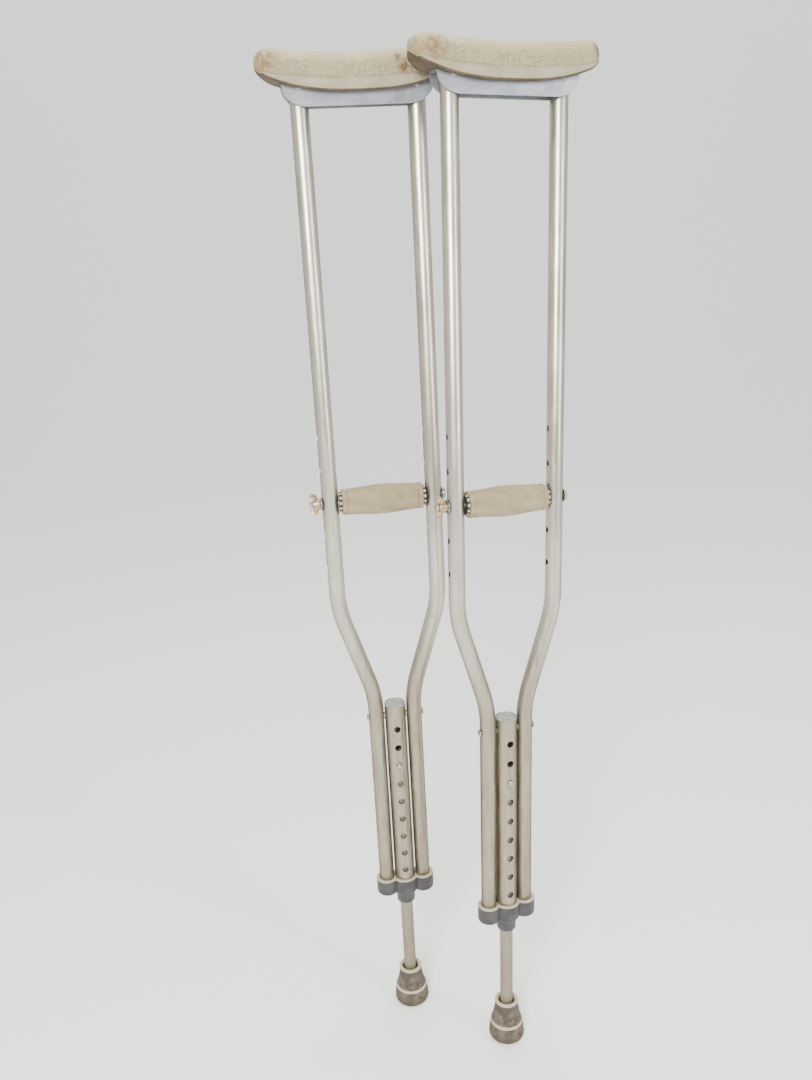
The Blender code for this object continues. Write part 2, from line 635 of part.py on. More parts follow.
# ---------------------------------------------------------------- hand grip and its fastener
def build_grip(crutch):
    place = at(0.0, 0.0, GRIP_Z) @ TO_PLUS_X
    groove_outer = GRIP_HALF - GRIP_GROOVE_FROM_END
    groove_inner = groove_outer - GRIP_GROOVE_WIDTH
    belly = [
        (GRIP_END_RADIUS + (GRIP_MID_RADIUS - GRIP_END_RADIUS) * math.cos(math.pi / 2 * share), share)
        for share in (1.0, 0.6, 0.25)
    ]
    upper = [(GRIP_END_RADIUS, GRIP_HALF), (GRIP_END_RADIUS, groove_outer), (GRIP_GROOVE_RADIUS, groove_outer)]
    upper += [(GRIP_GROOVE_RADIUS, groove_inner)]
    upper += [(radius, groove_inner * share) for radius, share in belly]
    lower = [(radius, -height) for radius, height in reversed(upper)]
    bore = CORE_RADIUS + CLEARANCE
    profile = upper + lower + [(bore, -GRIP_HALF), (bore, GRIP_HALF)]
    turned(crutch, "grip_sleeve", profile, place, "grip_foam", 20)
    start = at(-GRIP_HALF, 0.0, GRIP_Z) @ TO_PLUS_X
    ring(crutch, "grip_core", CORE_RADIUS, BOLT_HOLE_RADIUS, 2 * GRIP_HALF, start, "pale_plastic", 20)

    teeth = []
    for i in range(BUSHING_TEETH):
        for share, radius in ((-0.22, 0.0), (0.22, 0.0), (0.30, 1.0), (0.70, 1.0)):
            turn = math.tau * (i + share) / BUSHING_TEETH
            reach = BUSHING_RADIUS - BUSHING_TOOTH_DEPTH * radius
            teeth.append((reach * math.cos(turn), reach * math.sin(turn)))
    for letter, side in (("a", -1.0), ("b", 1.0)):
        name = "grip_bushing_" + letter
        mesh = plate_mesh(name, teeth, BUSHING_WIDTH / 2)
        middle = side * (BOW_INNER_X - CLEARANCE - BUSHING_WIDTH / 2)
        spot = at(middle, 0.0, GRIP_Z) @ TO_PLUS_X
        obj = crutch.place(bpy.data.objects.new(name, mesh), name, spot, "pale_plastic")
        hole = cylinders_mesh(name, [(spot, BOLT_HOLE_RADIUS, 2 * BUSHING_WIDTH)], 16)
        add_boolean(obj, crutch.cutter(name, hole), "DIFFERENCE")


def build_grip_fastener(crutch):
    place = at(0.0, 0.0, GRIP_Z) @ TO_PLUS_X
    head_base = WASHER_OUTER_X + CLEARANCE
    end_round = BOLT_RADIUS * 0.4
    profile = dome(BOLT_HEAD_RADIUS, head_base, BOLT_HEAD_HEIGHT, 4) + [
        (BOLT_RADIUS, head_base),
        (BOLT_RADIUS, -BOLT_END_X + end_round),
        (BOLT_RADIUS * 0.7, -BOLT_END_X),
        (0.0, -BOLT_END_X),
    ]
    turned(crutch, "grip_bolt", profile, place, "zinc_steel", 14)
    bore = BOLT_HOLE_RADIUS
    ring(
        crutch, "head_washer", WASHER_RADIUS, bore, WASHER_THICKNESS,
        at(WASHER_INNER_X, 0.0, GRIP_Z) @ TO_PLUS_X, "zinc_steel", 16,
    )
    ring(
        crutch, "nut_washer", WASHER_RADIUS, bore, WASHER_THICKNESS,
        at(-WASHER_OUTER_X, 0.0, GRIP_Z) @ TO_PLUS_X, "zinc_steel", 16,
    )


def build_wing_nut(crutch):
    """A tapered hub with two ears that sweep outwards, its axis on the bolt and its ears along local X."""
    name = "wing_nut"
    spin = Matrix.Rotation(NUT_ANGLES[crutch.suffix], 4, "Z")
    place = at(-NUT_INNER_X, 0.0, GRIP_Z) @ TO_PLUS_X.inverted() @ spin
    hub_top = NUT_HUB_RADIUS * 0.8
    profile = [
        (hub_top, NUT_HUB_LENGTH),
        (NUT_HUB_RADIUS, NUT_HUB_LENGTH * 0.35),
        (NUT_HUB_RADIUS, 0.0),
        (BOLT_RADIUS + THREAD_CLEARANCE, 0.0),
        (BOLT_RADIUS + THREAD_CLEARANCE, NUT_HUB_LENGTH),
    ]
    obj = turned(crutch, name, profile, place, "zinc_steel", 14)
    half_span = NUT_SPAN / 2
    root = (NUT_HUB_RADIUS + BOLT_RADIUS) / 2
    lift = NUT_HUB_LENGTH * 0.2
    ear_radius = (half_span - root) * 0.52
    ear_centre = (half_span - ear_radius, NUT_HUB_LENGTH * 0.95)
    ear = [(root, lift), (NUT_HUB_RADIUS, lift)]
    ear += arc(ear_centre, ear_radius, -math.radians(50.0), math.radians(150.0), 7)
    ear += [(root, NUT_HUB_LENGTH * 0.8)]
    for letter, turn in (("a", 0.0), ("b", math.pi)):
        mesh = plate_mesh(name + "_ear", ear, NUT_WING_THICKNESS / 2)
        mesh.transform(TO_FRONT)
        cutter = crutch.cutter("ear_" + letter, mesh)
        cutter.matrix_local = place @ Matrix.Rotation(turn, 4, "Z")
        add_boolean(obj, cutter, "UNION")


# ---------------------------------------------------------------- saddle and pad
def build_saddle(crutch):
    """A folded channel: flat plate on top, a flange each side whose lower corners sweep up to the plate."""
    name = "saddle"
    height = SADDLE_HEIGHT - SADDLE_SHEET
    sweep_steps = 6
    right = []
    for i in range(sweep_steps + 1):
        share = i / sweep_steps
        x = SADDLE_BOTTOM_HALF + (SADDLE_TOP_HALF - SADDLE_BOTTOM_HALF) * math.sin(share * math.pi / 2) ** 0.8
        right.append((x, height * share ** 1.6))
    left = [(-x, z) for x, z in reversed(right)]
    flange_mesh = plate_mesh(name + "_flanges", right + left, FLANGE_OUTER_Y)
    stand = at(0.0, 0.0, SADDLE_BOTTOM_Z) @ TO_FRONT
    flange_mesh.transform(stand)
    plate = box_mesh(
        name, (-SADDLE_TOP_HALF, -SADDLE_PLATE_HALF_WIDTH, PLATE_TOP_Z - SADDLE_SHEET),
        (SADDLE_TOP_HALF, SADDLE_PLATE_HALF_WIDTH, PLATE_TOP_Z),
    )
    obj = crutch.place(bpy.data.objects.new(name, plate), name, Matrix.Identity(4), "satin_aluminium")
    flanges = crutch.cutter("flanges", flange_mesh)
    channel = box_mesh(
        "channel", (-2 * SADDLE_TOP_HALF, -FLANGE_INNER_Y, SADDLE_BOTTOM_Z - SADDLE_HEIGHT),
        (2 * SADDLE_TOP_HALF, FLANGE_INNER_Y, PLATE_TOP_Z - SADDLE_SHEET),
    )
    add_boolean(obj, flanges, "UNION")
    add_boolean(obj, crutch.cutter("channel", channel), "DIFFERENCE")
    holes = [
        (at(side * BOW_HALF_SPREAD, 0.0, SADDLE_RIVET_Z) @ TO_FRONT, SADDLE_RIVET_RADIUS + CLEARANCE,
         4 * FLANGE_OUTER_Y)
        for side in (-1.0, 1.0)
    ]
    add_boolean(obj, crutch.cutter("rivet_holes", cylinders_mesh(name, holes, 10)), "DIFFERENCE")
    for letter, side in (("a", -1.0), ("b", 1.0)):
        two_headed_rivet(
            crutch, "saddle_rivet_" + letter, SADDLE_RIVET_FACE_Y, SADDLE_RIVET_RADIUS,
            SADDLE_RIVET_HEAD_RADIUS, SADDLE_RIVET_HEAD_HEIGHT,
            at(side * BOW_HALF_SPREAD, 0.0, SADDLE_RIVET_Z) @ TO_FRONT, 10,
        )


def pad_station(x):
    """Half width, underside and top of the pad at a distance x from its middle."""
    reach = abs(x) / PAD_HALF_LENGTH
    top = PAD_TOP_MID + (PAD_TOP_END - PAD_TOP_MID) * reach ** 2
    under = PAD_UNDER_MID + (PAD_UNDER_END - PAD_UNDER_MID) * reach ** 2.6
    past_plan = max(0.0, abs(x) - PAD_HALF_LENGTH + PAD_PLAN_ROUND) / PAD_PLAN_ROUND
    past_side = max(0.0, abs(x) - PAD_HALF_LENGTH + PAD_END_ROUND) / PAD_END_ROUND
    drop = PAD_END_ROUND * (1.0 - math.sqrt(1.0 - past_side ** 2))
    return PAD_HALF_WIDTH * math.sqrt(1.0 - past_plan ** 2), under + drop * 0.6, top - drop


def pad_ring(x):
    """A rounded-rectangle section across the pad."""
    half_width, under, top = pad_station(x)
    middle = (top + under) / 2
    half_height = (top - under) / 2
    ring_points = []
    for i in range(PAD_SIDES):
        turn = math.tau * (i + 0.5) / PAD_SIDES
        c = math.cos(turn)
        s = math.sin(turn)
        y = math.copysign(abs(c) ** PAD_SQUARENESS, c) * half_width
        z = math.copysign(abs(s) ** PAD_SQUARENESS, s) * half_height
        ring_points.append((x, y, SADDLE_BOTTOM_Z + middle + z))
    return ring_points


def pad_mesh(name):
    """The pad as a loft of sections, closer together towards its two rounded ends."""
    verts = []
    for i in range(PAD_STATIONS + 1):
        share = PAD_LAST_STATION * (2.0 * i / PAD_STATIONS - 1.0)
        verts += pad_ring(PAD_HALF_LENGTH * math.sin(share * math.pi / 2))
    faces = [list(range(PAD_SIDES)), list(range(len(verts) - 1, len(verts) - PAD_SIDES - 1, -1))]
    for i in range(PAD_STATIONS):
        start = i * PAD_SIDES
        for j in range(PAD_SIDES):
            k = (j + 1) % PAD_SIDES
            faces.append([start + j, start + PAD_SIDES + j, start + PAD_SIDES + k, start + k])
    mesh = bpy.data.meshes.new(name)
    mesh.from_pydata(verts, [], faces)
    bm = bmesh.new()
    bm.from_mesh(mesh)
    bmesh.ops.recalc_face_normals(bm, faces=bm.faces)
    bm.to_mesh(mesh)
    bm.free()
    shade(mesh)
    return mesh


def build_pad(crutch):
    """The moulded pad, hollowed below to slide over the saddle's plate and flanges."""
    name = "underarm_pad"
    obj = bpy.data.objects.new(name, pad_mesh(name))
    crutch.place(obj, name, Matrix.Identity(4), "pad_rubber")
    slot = box_mesh(
        "slot", (-SADDLE_TOP_HALF - CLEARANCE, -SADDLE_PLATE_HALF_WIDTH - CLEARANCE,
                 PLATE_TOP_Z - SADDLE_SHEET - CLEARANCE),
        (SADDLE_TOP_HALF + CLEARANCE, SADDLE_PLATE_HALF_WIDTH + CLEARANCE, PLATE_TOP_Z + CLEARANCE),
    )
    add_boolean(obj, crutch.cutter("pad_slot", slot), "DIFFERENCE")
    neck_half = SADDLE_RIVET_FACE_Y + SADDLE_RIVET_HEAD_HEIGHT + CLEARANCE
    neck = box_mesh(
        "neck", (-SADDLE_TOP_HALF - CLEARANCE, -neck_half, SADDLE_BOTTOM_Z - PAD_UNDER_MID),
        (SADDLE_TOP_HALF + CLEARANCE, neck_half, PLATE_TOP_Z),
    )
    add_boolean(obj, crutch.cutter("pad_neck", neck), "DIFFERENCE")


# ---------------------------------------------------------------- assembly
def build_crutch(crutch):
    build_bow(crutch, "nut_side_bow", -1.0)
    build_bow(crutch, "head_side_bow", 1.0)
    build_center_tube(crutch)
    build_top_plug(crutch)
    build_cross_rivet(crutch)
    build_bottom_bracket(crutch)
    build_leg(crutch)
    build_snap_button(crutch)
    build_tip(crutch)
    build_grip(crutch)
    build_grip_fastener(crutch)
    build_wing_nut(crutch)
    build_saddle(crutch)
    build_pad(crutch)


def placements():
    """World matrices of the two crutches. The leaning one is lifted so its tip's low edge meets the floor."""
    upright = at(*CRUTCH_1_FOOT, 0.0) @ Matrix.Rotation(CRUTCH_1_YAW, 4, "Z")
    lean = Euler((-CRUTCH_2_LEAN_BACK, CRUTCH_2_LEAN_RIGHT, 0.0)).to_matrix().to_4x4()
    axis = lean @ Vector((0.0, 0.0, 1.0))
    lift = TIP_TREAD_RADIUS * math.sqrt(1.0 - axis.z ** 2)
    leaning = at(*CRUTCH_2_FOOT, lift) @ lean @ Matrix.Rotation(CRUTCH_2_YAW, 4, "Z")
    return {"1": upright, "2": leaning}


def main():
    clear_scene()
    parts = add_collection("underarm_crutches")
    cutters = add_collection("cutters")
    finishes = {name: make_finish(name) for name in FINISHES}
    for suffix, placement in placements().items():
        build_crutch(Crutch(suffix, placement, parts, cutters, finishes))


main()
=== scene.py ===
"""Looks for a pair of aluminium underarm crutches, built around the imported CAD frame.

Each crutch has its own frame, read from the record's joints and mounts: X runs across it with the wing
nut at -X, -Y is the front with the snap button, and Z is its long axis with the rubber tip at zero.
"""

import json
import math

import bmesh
import bpy
from mathutils import Matrix, Vector


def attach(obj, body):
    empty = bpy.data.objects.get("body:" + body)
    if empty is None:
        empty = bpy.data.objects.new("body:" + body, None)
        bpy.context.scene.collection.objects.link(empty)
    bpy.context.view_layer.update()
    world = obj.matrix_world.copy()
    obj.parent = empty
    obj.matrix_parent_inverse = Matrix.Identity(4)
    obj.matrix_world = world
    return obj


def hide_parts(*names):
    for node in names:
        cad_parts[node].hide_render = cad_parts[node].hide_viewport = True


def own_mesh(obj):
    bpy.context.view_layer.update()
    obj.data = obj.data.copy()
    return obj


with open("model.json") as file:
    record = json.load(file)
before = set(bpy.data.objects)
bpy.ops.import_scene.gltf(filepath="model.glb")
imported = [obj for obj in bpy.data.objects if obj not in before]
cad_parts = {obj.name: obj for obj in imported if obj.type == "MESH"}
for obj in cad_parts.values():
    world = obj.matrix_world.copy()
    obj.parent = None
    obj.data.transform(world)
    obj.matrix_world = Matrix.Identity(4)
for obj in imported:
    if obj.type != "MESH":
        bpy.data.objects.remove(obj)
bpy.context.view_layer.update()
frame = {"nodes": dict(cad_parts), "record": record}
RECORD = frame["record"]
JOINTS = {joint["name"]: joint for joint in RECORD["behaviour"]["joints"]}
MOUNTS = {mount["name"]: mount for mount in RECORD["mounts"]}

# camera, measured from the upright crutch's foot: offset in metres, then turns in degrees
CAMERA_OFFSET = Vector((0.0450, -1.0415, 0.9984))
CAMERA_TURN = math.radians(1.124)
CAMERA_PITCH = math.radians(18.197)
CAMERA_ROLL = math.radians(-3.050)
FRAME_HEIGHT_PX = 1080
FOCAL_PX = 950.0
SENSOR_MM = 36.0
WORLD_STRENGTH = 0.85

# sizes that the nodes' boxes don't give
LOWER_BEND_Z = 0.462
UPPER_BEND_Z = 0.577
BEND_RADIUS = 0.140
BOW_WALL = 0.0012
CENTER_WALL = 0.00125
LEG_WALL = 0.0014
LENGTH_PITCH = 0.0254
LENGTH_HOLES = 9
BUTTON_HOLE = 6
HOLE_RADIUS = 0.0040
GRIP_PITCH = 0.0381
GRIP_HOLE_RADIUS = 0.0035
GAP = 0.0003
BUTTON_RADIUS = 0.0037
BUTTON_FLANGE_RADIUS = 0.0043
BRACKET_COLLAR_RADIUS = 0.0117
CROSS_RIVET_HOLE_RADIUS = 0.0027
BOLT_RADIUS = 0.003175
TIP_WASHER_BORE = 0.003
THREAD_START_X = -0.060
THREAD_PITCH = 0.00127
NUT_HUB_RADIUS = 0.0058
NUT_HUB_LENGTH = 0.0085
NUT_BORE = 0.0034
EAR_THICKNESS = 0.0021
SADDLE_SHEET = 0.0015
PAD_UNDER_MID = 0.0122
PAD_UNDER_END = 0.0310
PAD_TOP_SAG = 0.0070
PAD_PLAN_ROUND = 0.0200
PAD_END_ROUND = 0.0180
PAD_GRAIN_HEIGHT = 0.0238


# ---- frames
class Crutch:
    def __init__(self, suffix):
        self.suffix = suffix
        x = -Vector(JOINTS["wing_nut_spin_" + suffix]["axis"])
        z = Vector(JOINTS["leg_slide_" + suffix]["axis"]).normalized()
        y = z.cross(x).normalized()
        x = y.cross(z)
        self.matrix = Matrix((x, y, z)).transposed().to_4x4()
        self.matrix.translation = Vector(MOUNTS["tip_tread_" + suffix]["pos_m"])
        self.inverse = self.matrix.inverted()

    def name(self, part):
        return part + "_" + self.suffix

    def box(self, part):
        """A node's lowest and highest corners in this crutch's own frame."""
        points = [self.inverse @ v.co for v in frame["nodes"][self.name(part)].data.vertices]
        low = Vector([min(p[i] for p in points) for i in range(3)])
        high = Vector([max(p[i] for p in points) for i in range(3)])
        return low, high

    def mid_z(self, part):
        low, high = self.box(part)
        return (low.z + high.z) / 2

    def radius(self, part):
        """Half of a node's width."""
        low, high = self.box(part)
        return (high.x - low.x) / 2


def body_of_node(name):
    for body, nodes in RECORD["behaviour"]["bodies"].items():
        if name in nodes:
            return body
    return None


def show(crutch, part, mesh, *finishes):
    """Puts a mesh in the crutch's frame, gives it materials and lets it stand for its CAD node."""
    node = crutch.name(part)
    obj = bpy.data.objects.new(crutch.name(part + "_skin"), mesh)
    bpy.context.scene.collection.objects.link(obj)
    obj.matrix_world = crutch.matrix
    for finish in finishes:
        obj.data.materials.append(finish)
    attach(obj, body_of_node(node))
    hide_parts(node)
    return obj


# ---- mesh helpers
def finished(bm, name, sharp=32.0):
    """Turns a bmesh into a smooth-shaded mesh whose edges stay sharp above an angle in degrees."""
    bmesh.ops.recalc_face_normals(bm, faces=bm.faces)
    mesh = bpy.data.meshes.new(name)
    bm.to_mesh(mesh)
    bm.free()
    mesh.shade_smooth()
    mesh.set_sharp_from_angle(angle=math.radians(sharp))
    return mesh


def loft(rings, name, sharp=32.0):
    """Joins rings of points, each of the same number, and closes the two ends."""
    bm = bmesh.new()
    rows = [[bm.verts.new(point) for point in ring] for ring in rings]
    count = len(rings[0])
    for low, high in zip(rows, rows[1:]):
        for j in range(count):
            k = (j + 1) % count
            bm.faces.new((low[j], low[k], high[k], high[j]))
    bm.faces.new(list(reversed(rows[0])))
    bm.faces.new(rows[-1])
    return finished(bm, name, sharp)


AXES = {"Z": (0, 1, 2), "X": (1, 2, 0), "-Y": (0, 2, 1)}


def lathe(profile, name, axis="Z", centre=(0, 0, 0), sides=64, sharp=32.0, closed=False):
    """Turns (radius, height) points about an axis through a point.

    A profile with a bore, which never meets the axis, is a closed loop. So is a cup's, marked closed.
    """
    i, j, k = AXES[axis]
    sign = -1.0 if axis.startswith("-") else 1.0
    bm = bmesh.new()
    rows = []
    for radius, height in profile:
        row = []
        steps = 1 if radius < 1e-9 else sides
        for n in range(steps):
            turn = math.tau * n / sides
            point = [0.0, 0.0, 0.0]
            point[i] = radius * math.cos(turn)
            point[j] = radius * math.sin(turn)
            point[k] = sign * height
            row.append(bm.verts.new(Vector(point) + Vector(centre)))
        rows.append(row)
    pairs = list(zip(rows, rows[1:]))
    if closed or all(len(row) > 1 for row in rows):
        pairs.append((rows[-1], rows[0]))
    for a, b in pairs:
        for n in range(sides):
            m = (n + 1) % sides
            corners = [a[n % len(a)], a[m % len(a)], b[m % len(b)], b[n % len(b)]]
            corners = list(dict.fromkeys(corners))
            if len(corners) > 2:
                bm.faces.new(corners)
    return finished(bm, name, sharp)


def rounded(profile, radius, steps=3):
    """Rounds every corner of a closed (radius, height) profile a little."""
    out = []
    count = len(profile)
    for n, point in enumerate(profile):
        here = Vector(point)
        before = Vector(profile[n - 1]) - here
        after = Vector(profile[(n + 1) % count]) - here
        reach = min(radius, before.length * 0.45, after.length * 0.45)
        start = here + before.normalized() * reach
        end = here + after.normalized() * reach
        for s in range(steps + 1):
            t = s / steps
            out.append(tuple(start * (1 - t) ** 2 + here * 2 * t * (1 - t) + end * t ** 2))
    return out


def ring_profile(outer, inner, low, high, edge):
    """Profile of a plain ring or tube from one height to another, with rounded corners."""
    return rounded([(outer, high), (outer, low), (inner, low), (inner, high)], edge)


def arc_path(corners, radius, step=math.radians(2.0)):
    """A path through corners, each rounded to a radius."""
    points = [Vector(corners[0])]
    for before, corner, after in zip(corners, corners[1:], corners[2:]):
        into = (Vector(corner) - Vector(before)).normalized()
        out = (Vector(after) - Vector(corner)).normalized()
        turn = into.angle(out)
        start = Vector(corner) - into * radius * math.tan(turn / 2)
        centre = start + (out - into * into.dot(out)).normalized() * radius
        axis = into.cross(out).normalized()
        steps = max(2, round(turn / step))
        for i in range(steps + 1):
            points.append(centre + Matrix.Rotation(turn * i / steps, 3, axis) @ (start - centre))
    points.append(Vector(corners[-1]))
    return points


def tube_rings(points, radius, sides):
    """Rings of a round tube along a path that lies in the XZ plane."""
    rings = []
    for i, point in enumerate(points):
        before = points[max(i - 1, 0)]
        after = points[min(i + 1, len(points) - 1)]
        tangent = (after - before).normalized()
        side = Vector((tangent.z, 0.0, -tangent.x))
        ring = []
        for n in range(sides):
            turn = math.tau * n / sides
            across = side * math.cos(turn) + Vector((0, 1, 0)) * math.sin(turn)
            ring.append(point + across * radius)
        rings.append(ring)
    return rings


def rods(name, items, sides=24):
    """Capped cylinders in one mesh: each (centre, direction, radius, length)."""
    bm = bmesh.new()
    for centre, direction, radius, length in items:
        turn = Vector(direction).to_track_quat("Z", "Y").to_matrix().to_4x4()
        bmesh.ops.create_cone(
            bm, cap_ends=True, segments=sides, radius1=radius, radius2=radius, depth=length,
            matrix=Matrix.Translation(centre) @ turn,
        )
    mesh = bpy.data.meshes.new(name)
    bm.to_mesh(mesh)
    bm.free()
    return mesh


def combine(mesh, *steps, sharp=32.0, soften=0.0):
    """Runs exact Booleans on a mesh, each step an (operation, other mesh) pair, and returns the result."""
    work = bpy.data.objects.new("work", mesh)
    bpy.context.scene.collection.objects.link(work)
    others = []
    for operation, other in steps:
        tool = bpy.data.objects.new("tool", other)
        bpy.context.scene.collection.objects.link(tool)
        others.append(tool)
        modifier = work.modifiers.new("cut", "BOOLEAN")
        modifier.operation = operation
        modifier.solver = "EXACT"
        modifier.object = tool
    if soften:
        bevel = work.modifiers.new("soften", "BEVEL")
        bevel.width = soften
        bevel.segments = 2
        bevel.limit_method = "ANGLE"
        bevel.angle_limit = math.radians(40.0)
    graph = bpy.context.evaluated_depsgraph_get()
    result = bpy.data.meshes.new_from_object(work.evaluated_get(graph))
    for obj in [work, *others]:
        bpy.data.objects.remove(obj, do_unlink=True)
    result.name = mesh.name + "_cut"
    result.shade_smooth()
    result.set_sharp_from_angle(angle=math.radians(sharp))
    return result


def plate(outline, half, name, edge):
    """A flat plate of (x, y) points, half its thickness each side of Z = 0, with softened edges."""
    bm = bmesh.new()
    face = bm.faces.new([bm.verts.new((x, y, -half)) for x, y in outline])
    top = bmesh.ops.extrude_face_region(bm, geom=[face])
    raised = [part for part in top["geom"] if isinstance(part, bmesh.types.BMVert)]
    bmesh.ops.translate(bm, vec=(0, 0, 2 * half), verts=raised)
    bmesh.ops.recalc_face_normals(bm, faces=bm.faces)
    rims = [e for e in bm.edges if e.calc_face_angle(0.0) > math.radians(50.0)]
    bmesh.ops.bevel(bm, geom=rims, offset=edge, segments=3, profile=0.5, affect="EDGES")
    return finished(bm, name)


def dome(radius, base, height, steps=8):
    """Profile of a rounded head, from its crown on the axis out to its rim."""
    span = [math.pi / 2 * i / steps for i in range(steps + 1)]
    return [(radius * math.sin(a), base + height * math.cos(a)) for a in span]


def rivet_profile(head, shank, reach, cap):
    """A shank with a rounded head at each end; reach is half the rivet's length, cap a head's height."""
    upper = dome(head, reach - cap, cap)
    lower = [(radius, -height) for radius, height in reversed(upper)]
    return upper + [(shank, reach - cap), (shank, cap - reach)] + lower


# ---- materials
class Finish:
    """A Principled material whose colour, roughness and bump come from object-space noise."""

    def __init__(self, name, metallic=0.0, **constants):
        self.material = bpy.data.materials.new(name)
        self.material.use_nodes = True
        self.tree = self.material.node_tree
        self.shader = self.tree.nodes["Principled BSDF"]
        self.shader.inputs["Metallic"].default_value = metallic
        for socket, value in constants.items():
            self.shader.inputs[socket.replace("_", " ")].default_value = value
        self.coords = self.tree.nodes.new("ShaderNodeTexCoord").outputs["Object"]
        self.bumps = []

    def link(self, source, target):
        self.tree.links.new(source, target)

    def scaled(self, scale, shift=(0, 0, 0)):
        mapping = self.tree.nodes.new("ShaderNodeMapping")
        mapping.inputs["Scale"].default_value = scale
        mapping.inputs["Location"].default_value = shift
        self.link(self.coords, mapping.inputs["Vector"])
        return mapping.outputs["Vector"]

    def noise(self, scale, detail=4.0, rough=0.55, stretch=(1, 1, 1), shift=(0, 0, 0)):
        tex = self.tree.nodes.new("ShaderNodeTexNoise")
        tex.inputs["Scale"].default_value = scale
        tex.inputs["Detail"].default_value = detail
        tex.inputs["Roughness"].default_value = rough
        self.link(self.scaled(stretch, shift), tex.inputs["Vector"])
        return tex.outputs["Fac"]

    def cells(self, scale, feature="F1", stretch=(1, 1, 1)):
        tex = self.tree.nodes.new("ShaderNodeTexVoronoi")
        tex.feature = feature
        tex.inputs["Scale"].default_value = scale
        self.link(self.scaled(stretch), tex.inputs["Vector"])
        return tex.outputs["Distance"]

    def ramp(self, value, low, high, out_low=0.0, out_high=1.0):
        """Eases from one output to the other as the value goes from low to high."""
        node = self.tree.nodes.new("ShaderNodeMapRange")
        node.interpolation_type = "SMOOTHSTEP"
        node.inputs["From Min"].default_value = low
        node.inputs["From Max"].default_value = high
        node.inputs["To Min"].default_value = out_low
        node.inputs["To Max"].default_value = out_high
        self.link(value, node.inputs["Value"])
        return node.outputs["Result"]

    def math(self, operation, a, b):
        node = self.tree.nodes.new("ShaderNodeMath")
        node.operation = operation
        for socket, value in zip(node.inputs, (a, b)):
            if isinstance(value, (int, float)):
                socket.default_value = value
            else:
                self.link(value, socket)
        return node.outputs["Value"]

    def axis(self, letter):
        node = self.tree.nodes.new("ShaderNodeSeparateXYZ")
        self.link(self.coords, node.inputs["Vector"])
        return node.outputs[letter]

    def near(self, point, inner, outer):
        """1 within a distance of a point in the piece's own space, falling to 0 further out."""
        shifted = self.tree.nodes.new("ShaderNodeVectorMath")
        shifted.operation = "SUBTRACT"
        self.link(self.coords, shifted.inputs[0])
        shifted.inputs[1].default_value = point
        length = self.tree.nodes.new("ShaderNodeVectorMath")
        length.operation = "LENGTH"
        self.link(shifted.outputs["Vector"], length.inputs[0])
        return self.ramp(length.outputs["Value"], inner, outer, 1.0, 0.0)

    def blend(self, factor, a, b):
        """Mixes two colours, each an (r, g, b) tuple or another node's output."""
        node = self.tree.nodes.new("ShaderNodeMix")
        node.data_type = "RGBA"
        self.link(factor, node.inputs["Factor"])
        colour_sockets = [s for s in node.inputs if s.type == "RGBA"]
        for socket, value in zip(colour_sockets, (a, b)):
            if isinstance(value, tuple):
                socket.default_value = (*value, 1.0)
            else:
                self.link(value, socket)
        return [s for s in node.outputs if s.type == "RGBA"][0]

    def colour(self, source):
        self.link(source, self.shader.inputs["Base Color"])

    def roughness(self, source):
        self.link(source, self.shader.inputs["Roughness"])

    def stains(self, mix, marks):
        """Lays blotchy stains over a colour, each mark a (point, size, tint, amount)."""
        blotch = self.noise(1.0, 5.0, 0.65, stretch=(160, 160, 160), shift=(5, 2, 1))
        for point, size, tint, amount in marks:
            mask = self.near(point, size * 0.2, size)
            mask = self.math("MULTIPLY", mask, self.ramp(blotch, 0.33, 0.55))
            mix = self.blend(self.math("MULTIPLY", mask, amount), mix, tint)
        return mix

    def bump(self, height, strength, distance):
        """Adds a bump on top of the bumps before it."""
        node = self.tree.nodes.new("ShaderNodeBump")
        node.inputs["Strength"].default_value = strength
        node.inputs["Distance"].default_value = distance
        self.link(height, node.inputs["Height"])
        if self.bumps:
            self.link(self.bumps[-1].outputs["Normal"], node.inputs["Normal"])
        self.bumps.append(node)

    def done(self):
        if self.bumps:
            self.link(self.bumps[-1].outputs["Normal"], self.shader.inputs["Normal"])
        return self.material


